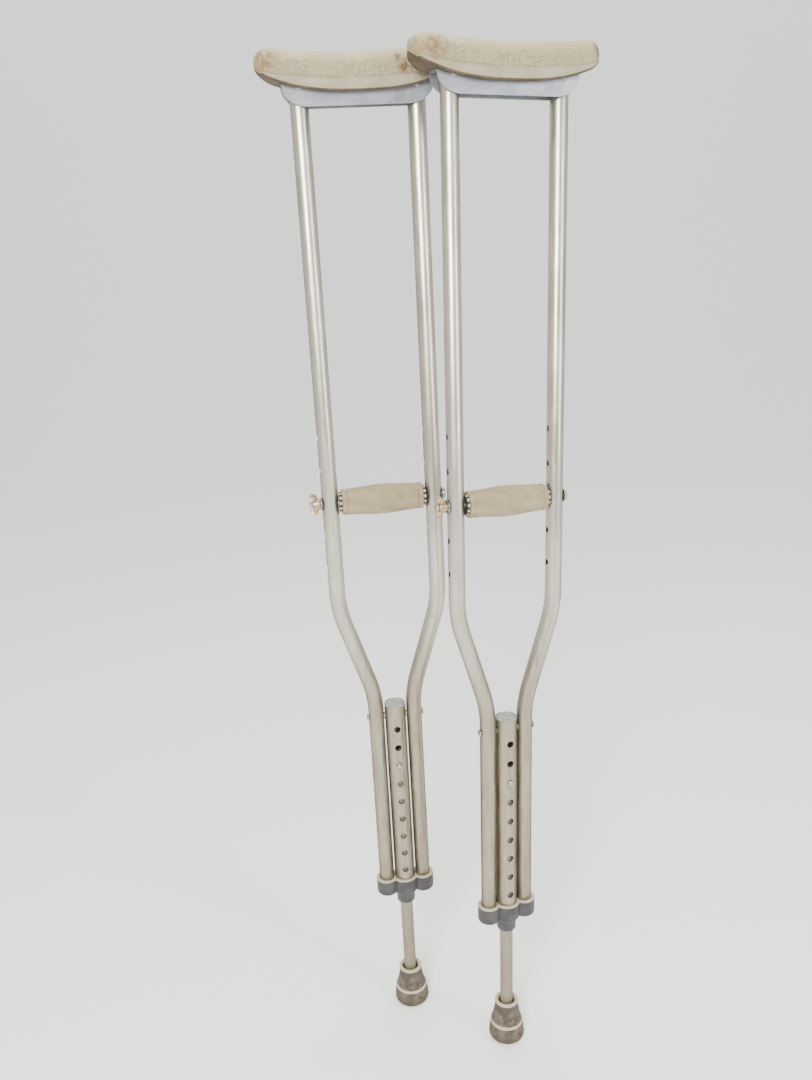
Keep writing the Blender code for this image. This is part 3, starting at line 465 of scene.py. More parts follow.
def aluminium_tube(name="tube_aluminium_look", metallic=0.94, rough_low=0.27, rough_high=0.40):
    """Satin anodised tube: fine lengthwise drawing lines, warm mottling, scuffs, browner low down."""
    f = Finish(name, metallic=metallic, Specular_Tint=(0.22, 0.20, 0.17, 1.0))
    lines = f.noise(1.0, 3.0, 0.6, stretch=(900, 900, 9))
    broad = f.noise(1.0, 3.0, 0.5, stretch=(55, 55, 16))
    grime = f.noise(1.0, 5.0, 0.62, stretch=(190, 190, 26), shift=(3, 1, 7))
    specks = f.noise(1.0, 2.0, 0.5, stretch=(420, 420, 300), shift=(9, 4, 2))
    scuffs = f.noise(1.0, 2.0, 0.5, stretch=(260, 260, 1500), shift=(2, 8, 5))
    base = f.blend(f.ramp(broad, 0.35, 0.65), (0.50, 0.46, 0.38), (0.62, 0.58, 0.49))
    low = f.ramp(f.axis("Z"), 0.44, 0.60, 1.0, 0.0)
    worn = f.blend(f.ramp(grime, 0.35, 0.65), (0.25, 0.215, 0.15), (0.37, 0.33, 0.25))
    mix = f.blend(f.math("MULTIPLY", low, 0.85), base, worn)
    dirt = f.math("MULTIPLY", f.ramp(grime, 0.56, 0.74), f.ramp(broad, 0.40, 0.62))
    mix = f.blend(f.math("MULTIPLY", dirt, 0.45), mix, (0.22, 0.185, 0.13))
    mix = f.blend(f.math("MULTIPLY", f.ramp(specks, 0.69, 0.75), 0.55), mix, (0.88, 0.85, 0.76))
    marks = f.math("MULTIPLY", f.ramp(scuffs, 0.66, 0.74), f.ramp(broad, 0.5, 0.7))
    mix = f.blend(f.math("MULTIPLY", marks, 0.6), mix, (0.90, 0.87, 0.80))
    leg = f.ramp(f.axis("Z"), 0.12, 0.20, 0.55, 0.0)
    mix = f.blend(leg, mix, (0.21, 0.18, 0.125))
    f.colour(mix)
    rough = f.ramp(grime, 0.3, 0.7, rough_low, rough_high)
    f.roughness(f.math("ADD", rough, f.math("MULTIPLY", low, 0.08)))
    f.bump(lines, 0.22, 0.00005)
    f.bump(f.ramp(specks, 0.66, 0.74), 0.35, 0.00008)
    return f.done()


def saddle_sheet():
    """Pale blue-grey satin sheet with faint vertical rub marks."""
    f = Finish("saddle_aluminium_look", metallic=0.6, Specular_Tint=(0.4, 0.42, 0.46, 1.0))
    broad = f.noise(1.0, 3.0, 0.5, stretch=(40, 40, 90))
    rubs = f.noise(1.0, 3.0, 0.6, stretch=(700, 700, 40))
    base = f.blend(f.ramp(broad, 0.35, 0.65), (0.235, 0.245, 0.265), (0.31, 0.325, 0.35))
    mix = f.blend(f.math("MULTIPLY", f.ramp(rubs, 0.62, 0.75), 0.5), base, (0.55, 0.56, 0.58))
    f.colour(mix)
    f.roughness(f.ramp(rubs, 0.3, 0.7, 0.36, 0.5))
    f.bump(rubs, 0.15, 0.00004)
    return f.done()


def zinc_steel(name="zinc_steel_look", tint=(0.46, 0.45, 0.42)):
    f = Finish(name, metallic=0.95, Specular_Tint=(0.3, 0.3, 0.3, 1.0))
    wear = f.noise(1.0, 4.0, 0.6, stretch=(420, 420, 420))
    dull = tuple(c * 0.66 for c in tint)
    base = f.blend(f.ramp(wear, 0.35, 0.7), tint, dull)
    rust = f.noise(1.0, 3.0, 0.6, stretch=(190, 190, 190), shift=(4, 4, 4))
    rusty = f.math("MULTIPLY", f.ramp(rust, 0.62, 0.74), 0.5)
    f.colour(f.blend(rusty, base, (0.36, 0.22, 0.12)))
    f.roughness(f.ramp(wear, 0.3, 0.7, 0.24, 0.46))
    f.bump(wear, 0.2, 0.00006)
    return f.done()


def pad_upper(marks):
    """Pebble-grained beige rubber, with its deepest grain just above the seam and darker there, and brown
    stains; the grain's valleys are darkened as painted shade.
    """
    f = Finish("pad_grain_look", Specular_IOR_Level=0.32, Sheen_Weight=0.08)
    grain = f.cells(640.0, "SMOOTH_F1", stretch=(0.75, 1.0, 1.25))
    fine = f.noise(1.0, 3.0, 0.6, stretch=(1600, 1600, 1600))
    broad = f.noise(1.0, 4.0, 0.55, stretch=(26, 26, 26))
    base = f.blend(f.ramp(broad, 0.35, 0.65), (0.40, 0.345, 0.195), (0.52, 0.455, 0.27))
    arch = f.math("MULTIPLY", f.math("POWER", f.math("ABSOLUTE", f.axis("X"), 0.0), 2.0), 0.9)
    level = f.math("SUBTRACT", f.axis("Z"), arch)
    low = f.ramp(level, 1.144, 1.163, 1.0, 0.0)
    mix = f.blend(f.math("MULTIPLY", low, 0.35), base, (0.30, 0.25, 0.165))
    depth = f.math("MULTIPLY", f.ramp(low, 0.0, 0.7, 0.25, 1.0), f.ramp(broad, 0.30, 0.55, 0.55, 1.0))
    # painted shade: the grain's valleys are darkened, most strongly towards the seam
    painted_valley_shade = f.math("MULTIPLY", f.ramp(grain, 0.28, 0.60), depth)
    mix = f.blend(f.math("MULTIPLY", painted_valley_shade, 0.70), mix, (0.17, 0.13, 0.075))
    f.colour(f.stains(mix, marks))
    f.roughness(f.ramp(broad, 0.3, 0.7, 0.62, 0.80))
    f.bump(f.math("MULTIPLY", f.ramp(grain, 0.05, 0.65, 1.0, 0.0), depth), 1.0, 0.00110)
    f.bump(fine, 0.15, 0.00008)
    return f.done()


def pad_band(marks):
    """The smooth moulded band under the grain, rubbed and browner towards its lower edge."""
    f = Finish("pad_band_look", Specular_IOR_Level=0.36)
    broad = f.noise(1.0, 4.0, 0.55, stretch=(30, 30, 60))
    rubs = f.noise(1.0, 3.0, 0.6, stretch=(90, 90, 700), shift=(1, 6, 2))
    base = f.blend(f.ramp(broad, 0.35, 0.65), (0.27, 0.235, 0.155), (0.34, 0.30, 0.205))
    mix = f.blend(f.math("MULTIPLY", f.ramp(rubs, 0.60, 0.75), 0.35), base, (0.50, 0.45, 0.34))
    f.colour(f.stains(mix, marks))
    f.roughness(f.ramp(broad, 0.3, 0.7, 0.48, 0.66))
    f.bump(rubs, 0.12, 0.00006)
    return f.done()


def pad_rim():
    """The near-black lower lip of the pad and its underside, a painted shade under the pad's overhang."""
    f = Finish("pad_lip_shade_look", Specular_IOR_Level=0.3)
    broad = f.noise(1.0, 5.0, 0.6, stretch=(90, 90, 90))
    f.colour(f.blend(f.ramp(broad, 0.35, 0.65), (0.060, 0.042, 0.024), (0.11, 0.08, 0.048)))
    f.roughness(f.ramp(broad, 0.3, 0.7, 0.6, 0.8))
    f.bump(broad, 0.2, 0.0001)
    return f.done()


def grip_rubber():
    """Closed-cell foam rubber, matte, with hand grime along the middle; its pores are darkened as painted
    shade.
    """
    f = Finish("grip_foam_look", Specular_IOR_Level=0.28, Sheen_Weight=0.10)
    pores = f.cells(1500.0, "F1")
    fine = f.noise(1.0, 4.0, 0.6, stretch=(900, 900, 900))
    broad = f.noise(1.0, 4.0, 0.55, stretch=(45, 80, 80))
    base = f.blend(f.ramp(broad, 0.32, 0.68), (0.25, 0.20, 0.112), (0.33, 0.272, 0.158))
    # painted shade: the foam's pores are darkened
    pore_shade = f.math("MULTIPLY", f.ramp(pores, 0.0, 0.35, 1.0, 0.0), 0.35)
    f.colour(f.blend(pore_shade, base, (0.15, 0.12, 0.07)))
    f.roughness(f.ramp(broad, 0.3, 0.7, 0.74, 0.90))
    f.bump(f.ramp(pores, 0.0, 0.5), 0.30, 0.00010)
    f.bump(fine, 0.20, 0.00008)
    return f.done()


def tip_rubber():
    """Grey-brown rubber with dust on it; the mouth rim and the ridge are worn to pale cream, and the band
    under the flared rim is darkened as painted shade.
    """
    f = Finish("tip_rubber_look", Specular_IOR_Level=0.3)
    dust = f.noise(1.0, 5.0, 0.62, stretch=(110, 110, 110))
    fine = f.noise(1.0, 4.0, 0.6, stretch=(900, 900, 900))
    z = f.axis("Z")
    base = f.blend(f.ramp(dust, 0.34, 0.66), (0.058, 0.047, 0.032), (0.145, 0.123, 0.09))
    foot = f.ramp(z, 0.004, 0.020, 1.0, 0.0)
    mix = f.blend(f.math("MULTIPLY", foot, 0.5), base, (0.055, 0.038, 0.022))
    # painted shade: a dark band just under the flared mouth rim
    shade_under_lip = f.math("MULTIPLY", f.ramp(z, 0.0420, 0.0440), f.ramp(z, 0.0490, 0.0500, 1.0, 0.0))
    mix = f.blend(f.math("MULTIPLY", shade_under_lip, 0.45), mix, (0.055, 0.045, 0.033))
    ridge = f.math("MULTIPLY", f.ramp(z, 0.0205, 0.0213), f.ramp(z, 0.0236, 0.0246, 1.0, 0.0))
    rim = f.ramp(z, 0.0500, 0.0507)
    worn = f.math("MULTIPLY", f.math("MAXIMUM", ridge, rim), f.ramp(dust, 0.22, 0.45, 0.55, 1.0))
    f.colour(f.blend(worn, mix, (0.52, 0.44, 0.29)))
    f.roughness(f.ramp(dust, 0.3, 0.7, 0.66, 0.88))
    f.bump(fine, 0.30, 0.00015)
    f.bump(dust, 0.20, 0.00030)
    return f.done()


def bracket_plastic():
    f = Finish("bracket_plastic_look", Specular_IOR_Level=0.4)
    broad = f.noise(1.0, 4.0, 0.55, stretch=(70, 70, 70))
    fine = f.noise(1.0, 3.0, 0.6, stretch=(1300, 1300, 1300))
    base = f.blend(f.ramp(broad, 0.35, 0.65), (0.034, 0.033, 0.034), (0.060, 0.058, 0.057))
    # painted highlight: a pale tan band along the bracket's top rim, broken up by noise
    rim_highlight = f.math("MULTIPLY", f.ramp(f.axis("Z"), 0.1970, 0.1982), f.ramp(broad, 0.2, 0.5, 0.6, 1.0))
    f.colour(f.blend(rim_highlight, base, (0.47, 0.41, 0.29)))
    f.roughness(f.ramp(broad, 0.3, 0.7, 0.45, 0.60))
    f.bump(fine, 0.25, 0.00008)
    return f.done()


def pale_plastic(name, low, high, rough=(0.35, 0.5)):
    f = Finish(name, Specular_IOR_Level=0.45)
    broad = f.noise(1.0, 4.0, 0.6, stretch=(160, 160, 160))
    f.colour(f.blend(f.ramp(broad, 0.35, 0.65), low, high))
    f.roughness(f.ramp(broad, 0.3, 0.7, *rough))
    f.bump(broad, 0.2, 0.00008)
    return f.done()


# ---- pieces
def bow(crutch, part, side, metal):
    """One bent side tube, with its grip holes and the cross rivet's hole."""
    low, high = crutch.box(part)
    outer, foot, top = max(abs(low.x), abs(high.x)), low.z, high.z
    radius = (high.y - low.y) / 2
    centre_x = outer - radius
    inner_x = min(abs(low.x), abs(high.x)) + radius
    corners = [
        (side * inner_x, 0, foot), (side * inner_x, 0, LOWER_BEND_Z),
        (side * centre_x, 0, UPPER_BEND_Z), (side * centre_x, 0, top),
    ]
    path = arc_path(corners, BEND_RADIUS)
    shell = loft(tube_rings(path, radius, 56), "bow")
    bore_corners = [Vector(c) for c in corners]
    bore_corners[0].z -= 0.01
    bore_corners[-1].z += 0.01
    bore = loft(tube_rings(arc_path(bore_corners, BEND_RADIUS), radius - BOW_WALL, 40), "bore")
    grip_z = crutch.mid_z("grip_bolt")
    rivet_z = crutch.mid_z("cross_rivet")
    holes = [
        ((side * centre_x, 0, grip_z + i * GRIP_PITCH), (1, 0, 0), GRIP_HOLE_RADIUS, 0.04)
        for i in (-2, -1, 0, 1, 2)
    ]
    holes.append(((side * inner_x, 0, rivet_z), (1, 0, 0), CROSS_RIVET_HOLE_RADIUS, 0.03))
    mesh = combine(shell, ("DIFFERENCE", bore), ("DIFFERENCE", rods("holes", holes)), soften=0.00025)
    show(crutch, part, mesh, metal)


def center_tube(crutch, metal):
    """The front tube, with the column of length holes through it."""
    low, high = crutch.box("center_tube")
    radius = (high.x - low.x) / 2
    profile = ring_profile(radius, radius - CENTER_WALL, low.z, high.z, 0.0003)
    shell = lathe(profile, "center", sides=72)
    button_z = crutch.mid_z("snap_button")
    holes = [
        ((0, 0, button_z + (i - BUTTON_HOLE) * LENGTH_PITCH), (0, 1, 0), HOLE_RADIUS, 0.05)
        for i in range(LENGTH_HOLES)
    ]
    rivet_z = crutch.mid_z("cross_rivet")
    holes.append(((0, 0, rivet_z), (1, 0, 0), CROSS_RIVET_HOLE_RADIUS, 0.05))
    mesh = combine(shell, ("DIFFERENCE", rods("holes", holes, 40)), soften=0.0005)
    show(crutch, "center_tube", mesh, metal)


def top_plug(crutch, plastic):
    """The dished cap of the centre tube, with a groove near its rim."""
    low, high = crutch.box("top_plug")
    radius = (high.x - low.x) / 2
    skirt = radius - CENTER_WALL - GAP
    flange = high.z - 0.0018
    profile = [
        (0, high.z - 0.0010), (radius * 0.66, high.z - 0.0009), (radius * 0.76, high.z - 0.0004),
        (radius * 0.81, high.z - 0.0003), (radius * 0.84, high.z - 0.0014),
        (radius * 0.885, high.z - 0.0014), (radius * 0.90, high.z - 0.0001),
        (radius * 0.96, high.z), (radius, high.z - 0.0006),
        (radius, flange), (skirt, flange), (skirt, low.z), (skirt - 0.0014, low.z),
        (skirt - 0.0014, flange - 0.0002), (0, flange - 0.0002),
    ]
    show(crutch, "top_plug", lathe(profile, "plug"), plastic)


def cross_rivet(crutch, steel):
    """The rivet through all three tubes, and the spacers between them."""
    low, high = crutch.box("cross_rivet")
    z = crutch.mid_z("cross_rivet")
    profile = rivet_profile((high.z - low.z) / 2, 0.0024, high.x, 0.0017)
    show(crutch, "cross_rivet", lathe(profile, "rivet", "X", (0, 0, z), 32), steel)
    for letter in "ab":
        part = "cross_spacer_" + letter
        low, high = crutch.box(part)
        ring = ring_profile((high.z - low.z) / 2, CROSS_RIVET_HOLE_RADIUS, low.x, high.x, 0.0002)
        show(crutch, part, lathe(ring, "spacer", "X", (0, 0, z), 32), steel)


def lobe_outline(side_x, side_r, mid_r, steps=24):
    """Three round lobes in a row, the middle one larger."""
    notch_x = (side_x ** 2 - side_r ** 2 + mid_r ** 2) / (2 * side_x)
    notch_y = math.sqrt(max(mid_r ** 2 - notch_x ** 2, 1e-9))
    side_turn = math.atan2(notch_y, notch_x - side_x)
    mid_turn = math.atan2(notch_y, notch_x)

    def span(cx, r, start, end, count):
        return [(cx + r * math.cos(start + (end - start) * i / count),
                 r * math.sin(start + (end - start) * i / count)) for i in range(count)]

    return (
        span(side_x, side_r, -side_turn, side_turn, steps)
        + span(0, mid_r, mid_turn, math.pi - mid_turn, steps // 2)
        + span(-side_x, side_r, math.pi - side_turn, math.pi + side_turn, steps)
        + span(0, mid_r, math.pi + mid_turn, math.tau - mid_turn, steps // 2)
    )


def bottom_bracket(crutch, plastic):
    """The three-lobed moulding that the tubes stand in, with a collar round the leg."""
    low, high = crutch.box("bottom_bracket")
    tube_low, tube_high = crutch.box("center_tube")
    bow_low, bow_high = crutch.box("head_side_bow")
    bow_r = (bow_high.y - bow_low.y) / 2
    side_x = bow_low.x + bow_r
    side_r = high.x - side_x
    mid_r = high.y
    bottom = tube_low.z - 0.0043
    height = high.z - bottom
    levels = [
        (bottom, 0.0042), (bottom + 0.0002, 0.0030), (bottom + 0.0009, 0.0017), (bottom + 0.0020, 0.0007),
        (bottom + 0.0034, 0.0001), (bottom + 0.0048, 0.0), (bottom + height * 0.6, 0.0),
        (high.z - 0.0016, 0.0), (high.z - 0.0008, 0.0001), (high.z - 0.0002, 0.0005), (high.z, 0.0011),
    ]
    rings = []
    for z, inset in levels:
        outline = lobe_outline(side_x, side_r - inset, mid_r - inset)
        rings.append([(x, y, z) for x, y in outline])
    body = loft(rings, "bracket")
    collar_r = BRACKET_COLLAR_RADIUS
    collar = lathe(
        [(0, bottom + 0.002), (collar_r + 0.0030, bottom + 0.002), (collar_r + 0.0026, bottom - 0.0002),
         (collar_r + 0.0012, bottom - 0.0010), (collar_r + 0.0003, bottom - 0.0024),
         (collar_r, bottom - 0.0042), (collar_r, low.z + 0.0010), (collar_r - 0.0003, low.z + 0.0003),
         (collar_r - 0.0010, low.z), (0, low.z)],
        "collar",
    )
    mid_pocket = (tube_high.x - tube_low.x) / 2 + GAP
    depth = high.z - tube_low.z + 0.02
    pocket_z = tube_low.z - GAP + depth / 2
    pockets = rods("pockets", [
        ((-side_x, 0, pocket_z), (0, 0, 1), bow_r + GAP, depth),
        ((0, 0, pocket_z), (0, 0, 1), mid_pocket, depth),
        ((side_x, 0, pocket_z), (0, 0, 1), bow_r + GAP, depth),
    ], 56)
    bore = rods("bore", [((0, 0, bottom), (0, 0, 1), crutch.radius("leg_tube") + GAP, 0.08)], 48)
    mesh = combine(body, ("UNION", collar), ("DIFFERENCE", pockets), ("DIFFERENCE", bore), soften=0.0002)
    show(crutch, "bottom_bracket", mesh, plastic)


def leg(crutch, metal, plastic):
    """The sliding leg and the guide sleeve at its top."""
    low, high = crutch.box("leg_tube")
    radius = (high.x - low.x) / 2
    button_z = crutch.mid_z("snap_button")
    profile = ring_profile(radius, radius - LEG_WALL, low.z, high.z, 0.0003)
    hole = rods("hole", [((0, -radius, button_z), (0, 1, 0), HOLE_RADIUS, radius)], 32)
    show(crutch, "leg_tube", combine(lathe(profile, "leg", sides=56), ("DIFFERENCE", hole)), metal)
    low, high = crutch.box("leg_guide")
    outer = (high.x - low.x) / 2
    profile = ring_profile(outer, radius + GAP, low.z, high.z, 0.0005)
    hole = rods("hole", [((0, -outer - radius / 2, button_z), (0, 1, 0), HOLE_RADIUS, 2 * outer)], 32)
    show(crutch, "leg_guide", combine(lathe(profile, "guide", sides=56), ("DIFFERENCE", hole)), plastic)


def snap_button(crutch, steel):
    """The domed button, with a flange that holds it inside the leg."""
    low, high = crutch.box("snap_button")
    z = (low.z + high.z) / 2
    face = -low.y
    inner = -high.y
    profile = dome(BUTTON_RADIUS, face - 0.0016, 0.0016) + [
        (BUTTON_RADIUS, inner + 0.0012), (BUTTON_FLANGE_RADIUS, inner + 0.0012),
        (BUTTON_FLANGE_RADIUS, inner), (0, inner),
    ]
    show(crutch, "snap_button", lathe(profile, "button", "-Y", (0, 0, z), 40), steel)


def snap_spring(crutch, steel):
    """The spring strip behind the button, with softened edges."""
    low, high = crutch.box("snap_spring")
    mesh = frame["nodes"][crutch.name("snap_spring")].data.copy()
    mesh.transform(crutch.inverse)
    mesh.materials.clear()
    obj = show(crutch, "snap_spring", combine(mesh, soften=0.00012), steel)
    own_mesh(obj)


def rubber_tip(crutch, rubber, steel):
    """The tip: a flared mouth, a cone, a ridge and a grooved tread, with a washer inside."""
    low, high = crutch.box("rubber_tip")
    bore = crutch.radius("leg_tube") + GAP
    h = high.z
    foot = (high.x - low.x) / 2
    washer_low, washer_high = crutch.box("tip_washer")
    pocket = (washer_high.x - washer_low.x) / 2 + GAP
    outside = [
        (0.0112, h - 0.0001), (0.0122, h), (0.0138, h - 0.0001), (0.0147, h - 0.0006),
        (0.0150, h - 0.0015), (0.0148, h - 0.0023), (0.0144, h - 0.0026),
        (0.0144, h - 0.0060), (0.0146, h - 0.0080), (0.0153, h - 0.0120), (0.0163, h - 0.0170),
        (0.0174, h - 0.0220), (0.0184, h - 0.0265), (0.0190, h - 0.0286), (0.0196, h - 0.0293),
        (0.0203, h - 0.0297), (0.0207, h - 0.0304), (0.0208, h - 0.0311), (0.0206, h - 0.0318),
        (0.0204, h - 0.0322), (0.0207, h - 0.0330), (0.0214, h - 0.0380), (0.0220, h - 0.0430),
        (foot, 0.0065), (foot - 0.0001, 0.0042), (foot - 0.0005, 0.0024), (foot - 0.0011, 0.0010),
        (foot - 0.0018, 0.0002), (foot - 0.0024, 0.0),
        (0.0180, 0.0), (0.0177, 0.0013), (0.0165, 0.0013), (0.0162, 0.0),
        (0.0132, 0.0), (0.0129, 0.0013), (0.0117, 0.0013), (0.0114, 0.0),
        (0.0084, 0.0), (0.0081, 0.0013), (0.0069, 0.0013), (0.0066, 0.0), (0.0, 0.0),
    ]
    inside = [
        (0.0, washer_low.z - GAP), (pocket, washer_low.z - GAP), (pocket, washer_high.z + GAP),
        (bore, washer_high.z + GAP), (bore, h - 0.0075), (bore + 0.0004, h - 0.0062),
        (bore + 0.0020, h - 0.0026), (bore + 0.0026, h - 0.0009),
    ]
    mesh = lathe(outside + inside, "tip", sides=96, sharp=40.0, closed=True)
    show(crutch, "rubber_tip", mesh, rubber)
    ring = ring_profile(pocket - GAP, TIP_WASHER_BORE, washer_low.z, washer_high.z, 0.0002)
    show(crutch, "tip_washer", lathe(ring, "washer", sides=40), steel)


def grip(crutch, foam, plastic, dark, light):
    """The barrel-shaped hand grip with its core and the ribbed collars at its ends."""
    low, high = crutch.box("grip_sleeve")
    z = (low.z + high.z) / 2
    half = high.x
    mid = (high.z - low.z) / 2
    end = mid - 0.0022
    core = (crutch.box("grip_core")[1].z - crutch.box("grip_core")[0].z) / 2
    upper = [
        (core + GAP, half - 0.0004), (core + 0.0008, half),
        (end - 0.0012, half), (end - 0.0003, half - 0.0004),
        (end + 0.0001, half - 0.0013), (end + 0.0001, half - 0.0037), (end - 0.0003, half - 0.0046),
        (end - 0.0011, half - 0.0051), (end - 0.0010, half - 0.0056), (end - 0.0003, half - 0.0062),
        (end + 0.0001, half - 0.0072),
    ]
    start = half - 0.0072
    steps = 14
    for i in range(1, steps):
        share = 1.0 - i / steps
        radius = end + 0.0001 + (mid - end - 0.0001) * (math.cos(math.pi * share) * 0.5 + 0.5) ** 0.85
        upper.append((radius, start * share))
    lower = [(radius, -height) for radius, height in reversed(upper)]
    profile = upper + [(mid, 0.0)] + lower
    sleeve = lathe(profile, "sleeve", "X", (0, 0, z), 72, sharp=50.0)
    show(crutch, "grip_sleeve", sleeve, foam)

    low, high = crutch.box("grip_core")
    ring = ring_profile(core, GRIP_HOLE_RADIUS, low.x, high.x, 0.0004)
    show(crutch, "grip_core", lathe(ring, "core", "X", (0, 0, z), 56), plastic)
    for letter in "ab":
        part = "grip_bushing_" + letter
        low, high = crutch.box(part)
        show(crutch, part, cog(low, high, z), dark, light)


def cog(low, high, z, teeth=12):
    """A ribbed collar: pale ribs standing out of a dark ring; the dark is painted shade of the grooves,
    laid on every face but the rib tops.
    """
    outer = (high.z - low.z) / 2
    root = outer - 0.0013
    bm = bmesh.new()
    levels = [(low.x, 0.0006), (low.x + 0.0004, 0.0), (high.x - 0.0004, 0.0), (high.x, 0.0006)]
    rows = []
    for x, inset in levels:
        row = []
        for n in range(teeth):
            for share, radius in ((0.02, root), (0.42, root), (0.46, outer), (0.98, outer)):
                turn = math.tau * (n + share) / teeth
                reach = radius - inset
                row.append(bm.verts.new((x, reach * math.cos(turn), z + reach * math.sin(turn))))
        rows.append(row)
    inner = []
    for x in (low.x, high.x):
        inner.append([
            bm.verts.new((x, GRIP_HOLE_RADIUS * math.cos(math.tau * n / (4 * teeth)),
                          z + GRIP_HOLE_RADIUS * math.sin(math.tau * n / (4 * teeth))))
            for n in range(4 * teeth)
        ])
    count = 4 * teeth
    for a, b in [*zip(rows, rows[1:]), (rows[-1], inner[1]), (inner[1], inner[0]), (inner[0], rows[0])]:
        for n in range(count):
            m = (n + 1) % count
            face = bm.faces.new((a[n], a[m], b[m], b[n]))
            # faces other than the rib tops take the first finish, the near-black painted shade
            on_rib = n % 4 == 2 and a in rows and b in rows
            face.material_index = 1 if on_rib else 0
    return finished(bm, "cog")


def grip_fastener(crutch, steel, nut_metal):
    """The bolt through both bows and the grip, its two washers and its wing nut."""
    low, high = crutch.box("grip_bolt")
    z = (low.z + high.z) / 2
    head = (high.z - low.z) / 2
    radius = BOLT_RADIUS
    pitch = THREAD_PITCH
    base = crutch.box("head_washer")[1].x + GAP
    profile = dome(head, base + 0.0006, high.x - base - 0.0006)
    profile += [(head - 0.0002, base), (radius, base), (radius, THREAD_START_X)]
    turns = int((THREAD_START_X - low.x) / pitch) - 1
    for i in range(turns):
        x = THREAD_START_X - i * pitch
        profile += [
            (radius, x - pitch * 0.15), (radius - 0.0005, x - pitch * 0.5), (radius, x - pitch * 0.85),
        ]
    profile += [(radius - 0.0003, low.x + 0.0009), (radius * 0.7, low.x), (0, low.x)]
    show(crutch, "grip_bolt", lathe(profile, "bolt", "X", (0, 0, z), 40), steel)
    for part in ("head_washer", "nut_washer"):
        low, high = crutch.box(part)
        ring = ring_profile((high.z - low.z) / 2, GRIP_HOLE_RADIUS, low.x, high.x, 0.0003)
        show(crutch, part, lathe(ring, "washer", "X", (0, 0, z), 48), steel)
    wing_nut(crutch, z, nut_metal)


def wing_nut(crutch, z, metal):
    """Tapered hub and two ears; the ears' direction is read from the CAD nut's own corners."""
    node = frame["nodes"][crutch.name("wing_nut")]
    points = [crutch.inverse @ v.co for v in node.data.vertices]
    centre = Vector((0, 0, z))
    far = max(points, key=lambda p: Vector((0, p.y, p.z - z)).length)
    angle = math.atan2(far.z - z, far.y)
    span = Vector((0, far.y, far.z - z)).length
    base = max(p.x for p in points)
    top = min(p.x for p in points)
    hub = NUT_HUB_RADIUS
    hub_top = base - NUT_HUB_LENGTH
    profile = [
        (hub - 0.0012, hub_top), (hub, hub_top + 0.0052), (hub, base),
        (NUT_BORE, base), (NUT_BORE, hub_top),
    ]
    body = lathe(rounded(profile, 0.0006, 4), "hub", "X", (0, 0, z), 48)
    ears = []
    for extra in (0.0, math.pi):
        ear = ear_mesh(span, base, top, hub)
        ear.transform(Matrix.Translation(centre) @ Matrix.Rotation(angle + extra, 4, "X"))
        ears.append(("UNION", ear))
    show(crutch, "wing_nut", combine(body, *ears, sharp=45.0, soften=0.0002), metal)


def ear_mesh(span, base, top, hub):
    """One ear in the XY plane, rising from the hub along +Y and leaning out to -X."""
    radius = (base - top) * 0.40
    cx, cy = top + radius, span - radius
    outline = [(base - 0.0008, 0.0040), (base - 0.0012, hub - 0.0002)]
    for i in range(17):
        turn = math.radians(-28.0 + i * (208.0 / 16))
        outline.append((cx + radius * math.cos(turn) * 0.95, cy + radius * math.sin(turn)))
    outline += [(base - 0.0070, hub - 0.0006), (base - 0.0072, 0.0040)]
    return plate(outline, EAR_THICKNESS / 2, "ear", 0.0006)


def saddle(crutch, sheet):
    """Folded channel: each flange is straight along the bottom and sweeps up to the plate at its ends."""
    low, high = crutch.box("saddle")
    bow_low, bow_high = crutch.box("head_side_bow")
    bow_x = bow_high.x - (bow_high.y - bow_low.y) / 2
    flat = bow_x - 0.0090
    outer_y = (bow_high.y - bow_low.y) / 2 + GAP + SADDLE_SHEET
    inner_y = outer_y - SADDLE_SHEET
    plate_under = high.z - SADDLE_SHEET
    edge = 0.0004
    steps = 26
    xs = [flat + (high.x - flat) * i / steps for i in range(steps + 1)]
    xs = [-x for x in reversed(xs)] + [flat * (i / 8 - 1) for i in range(1, 16)] + xs
    rings = []
    for x in xs:
        past = max(0.0, abs(x) - flat) / (high.x - flat)
        rise = (1.0 - math.sqrt(max(0.0, 1.0 - past ** 2.1))) * (plate_under - low.z - 0.0012)
        bottom = low.z + rise
        half = [
            (outer_y - 0.0016, high.z), (outer_y - 0.0010, high.z - 0.0002), (outer_y, high.z - 0.0014),
            (outer_y, bottom + edge), (outer_y - edge, bottom), (inner_y + edge, bottom),
            (inner_y, bottom + edge), (inner_y, plate_under),
        ]
        rings.append([(x, y, z) for y, z in half] + [(x, -y, z) for y, z in reversed(half)])
    show(crutch, "saddle", loft(rings, "saddle"), sheet)
    for part in ("saddle_rivet_a", "saddle_rivet_b"):
        low, high = crutch.box(part)
        head = (high.z - low.z) / 2
        centre = ((low.x + high.x) / 2, 0, (low.z + high.z) / 2)
        rivet = lathe(rivet_profile(head, 0.0016, high.y, 0.0012), "rivet", "-Y", centre, 28)
        show(crutch, part, rivet, sheet)


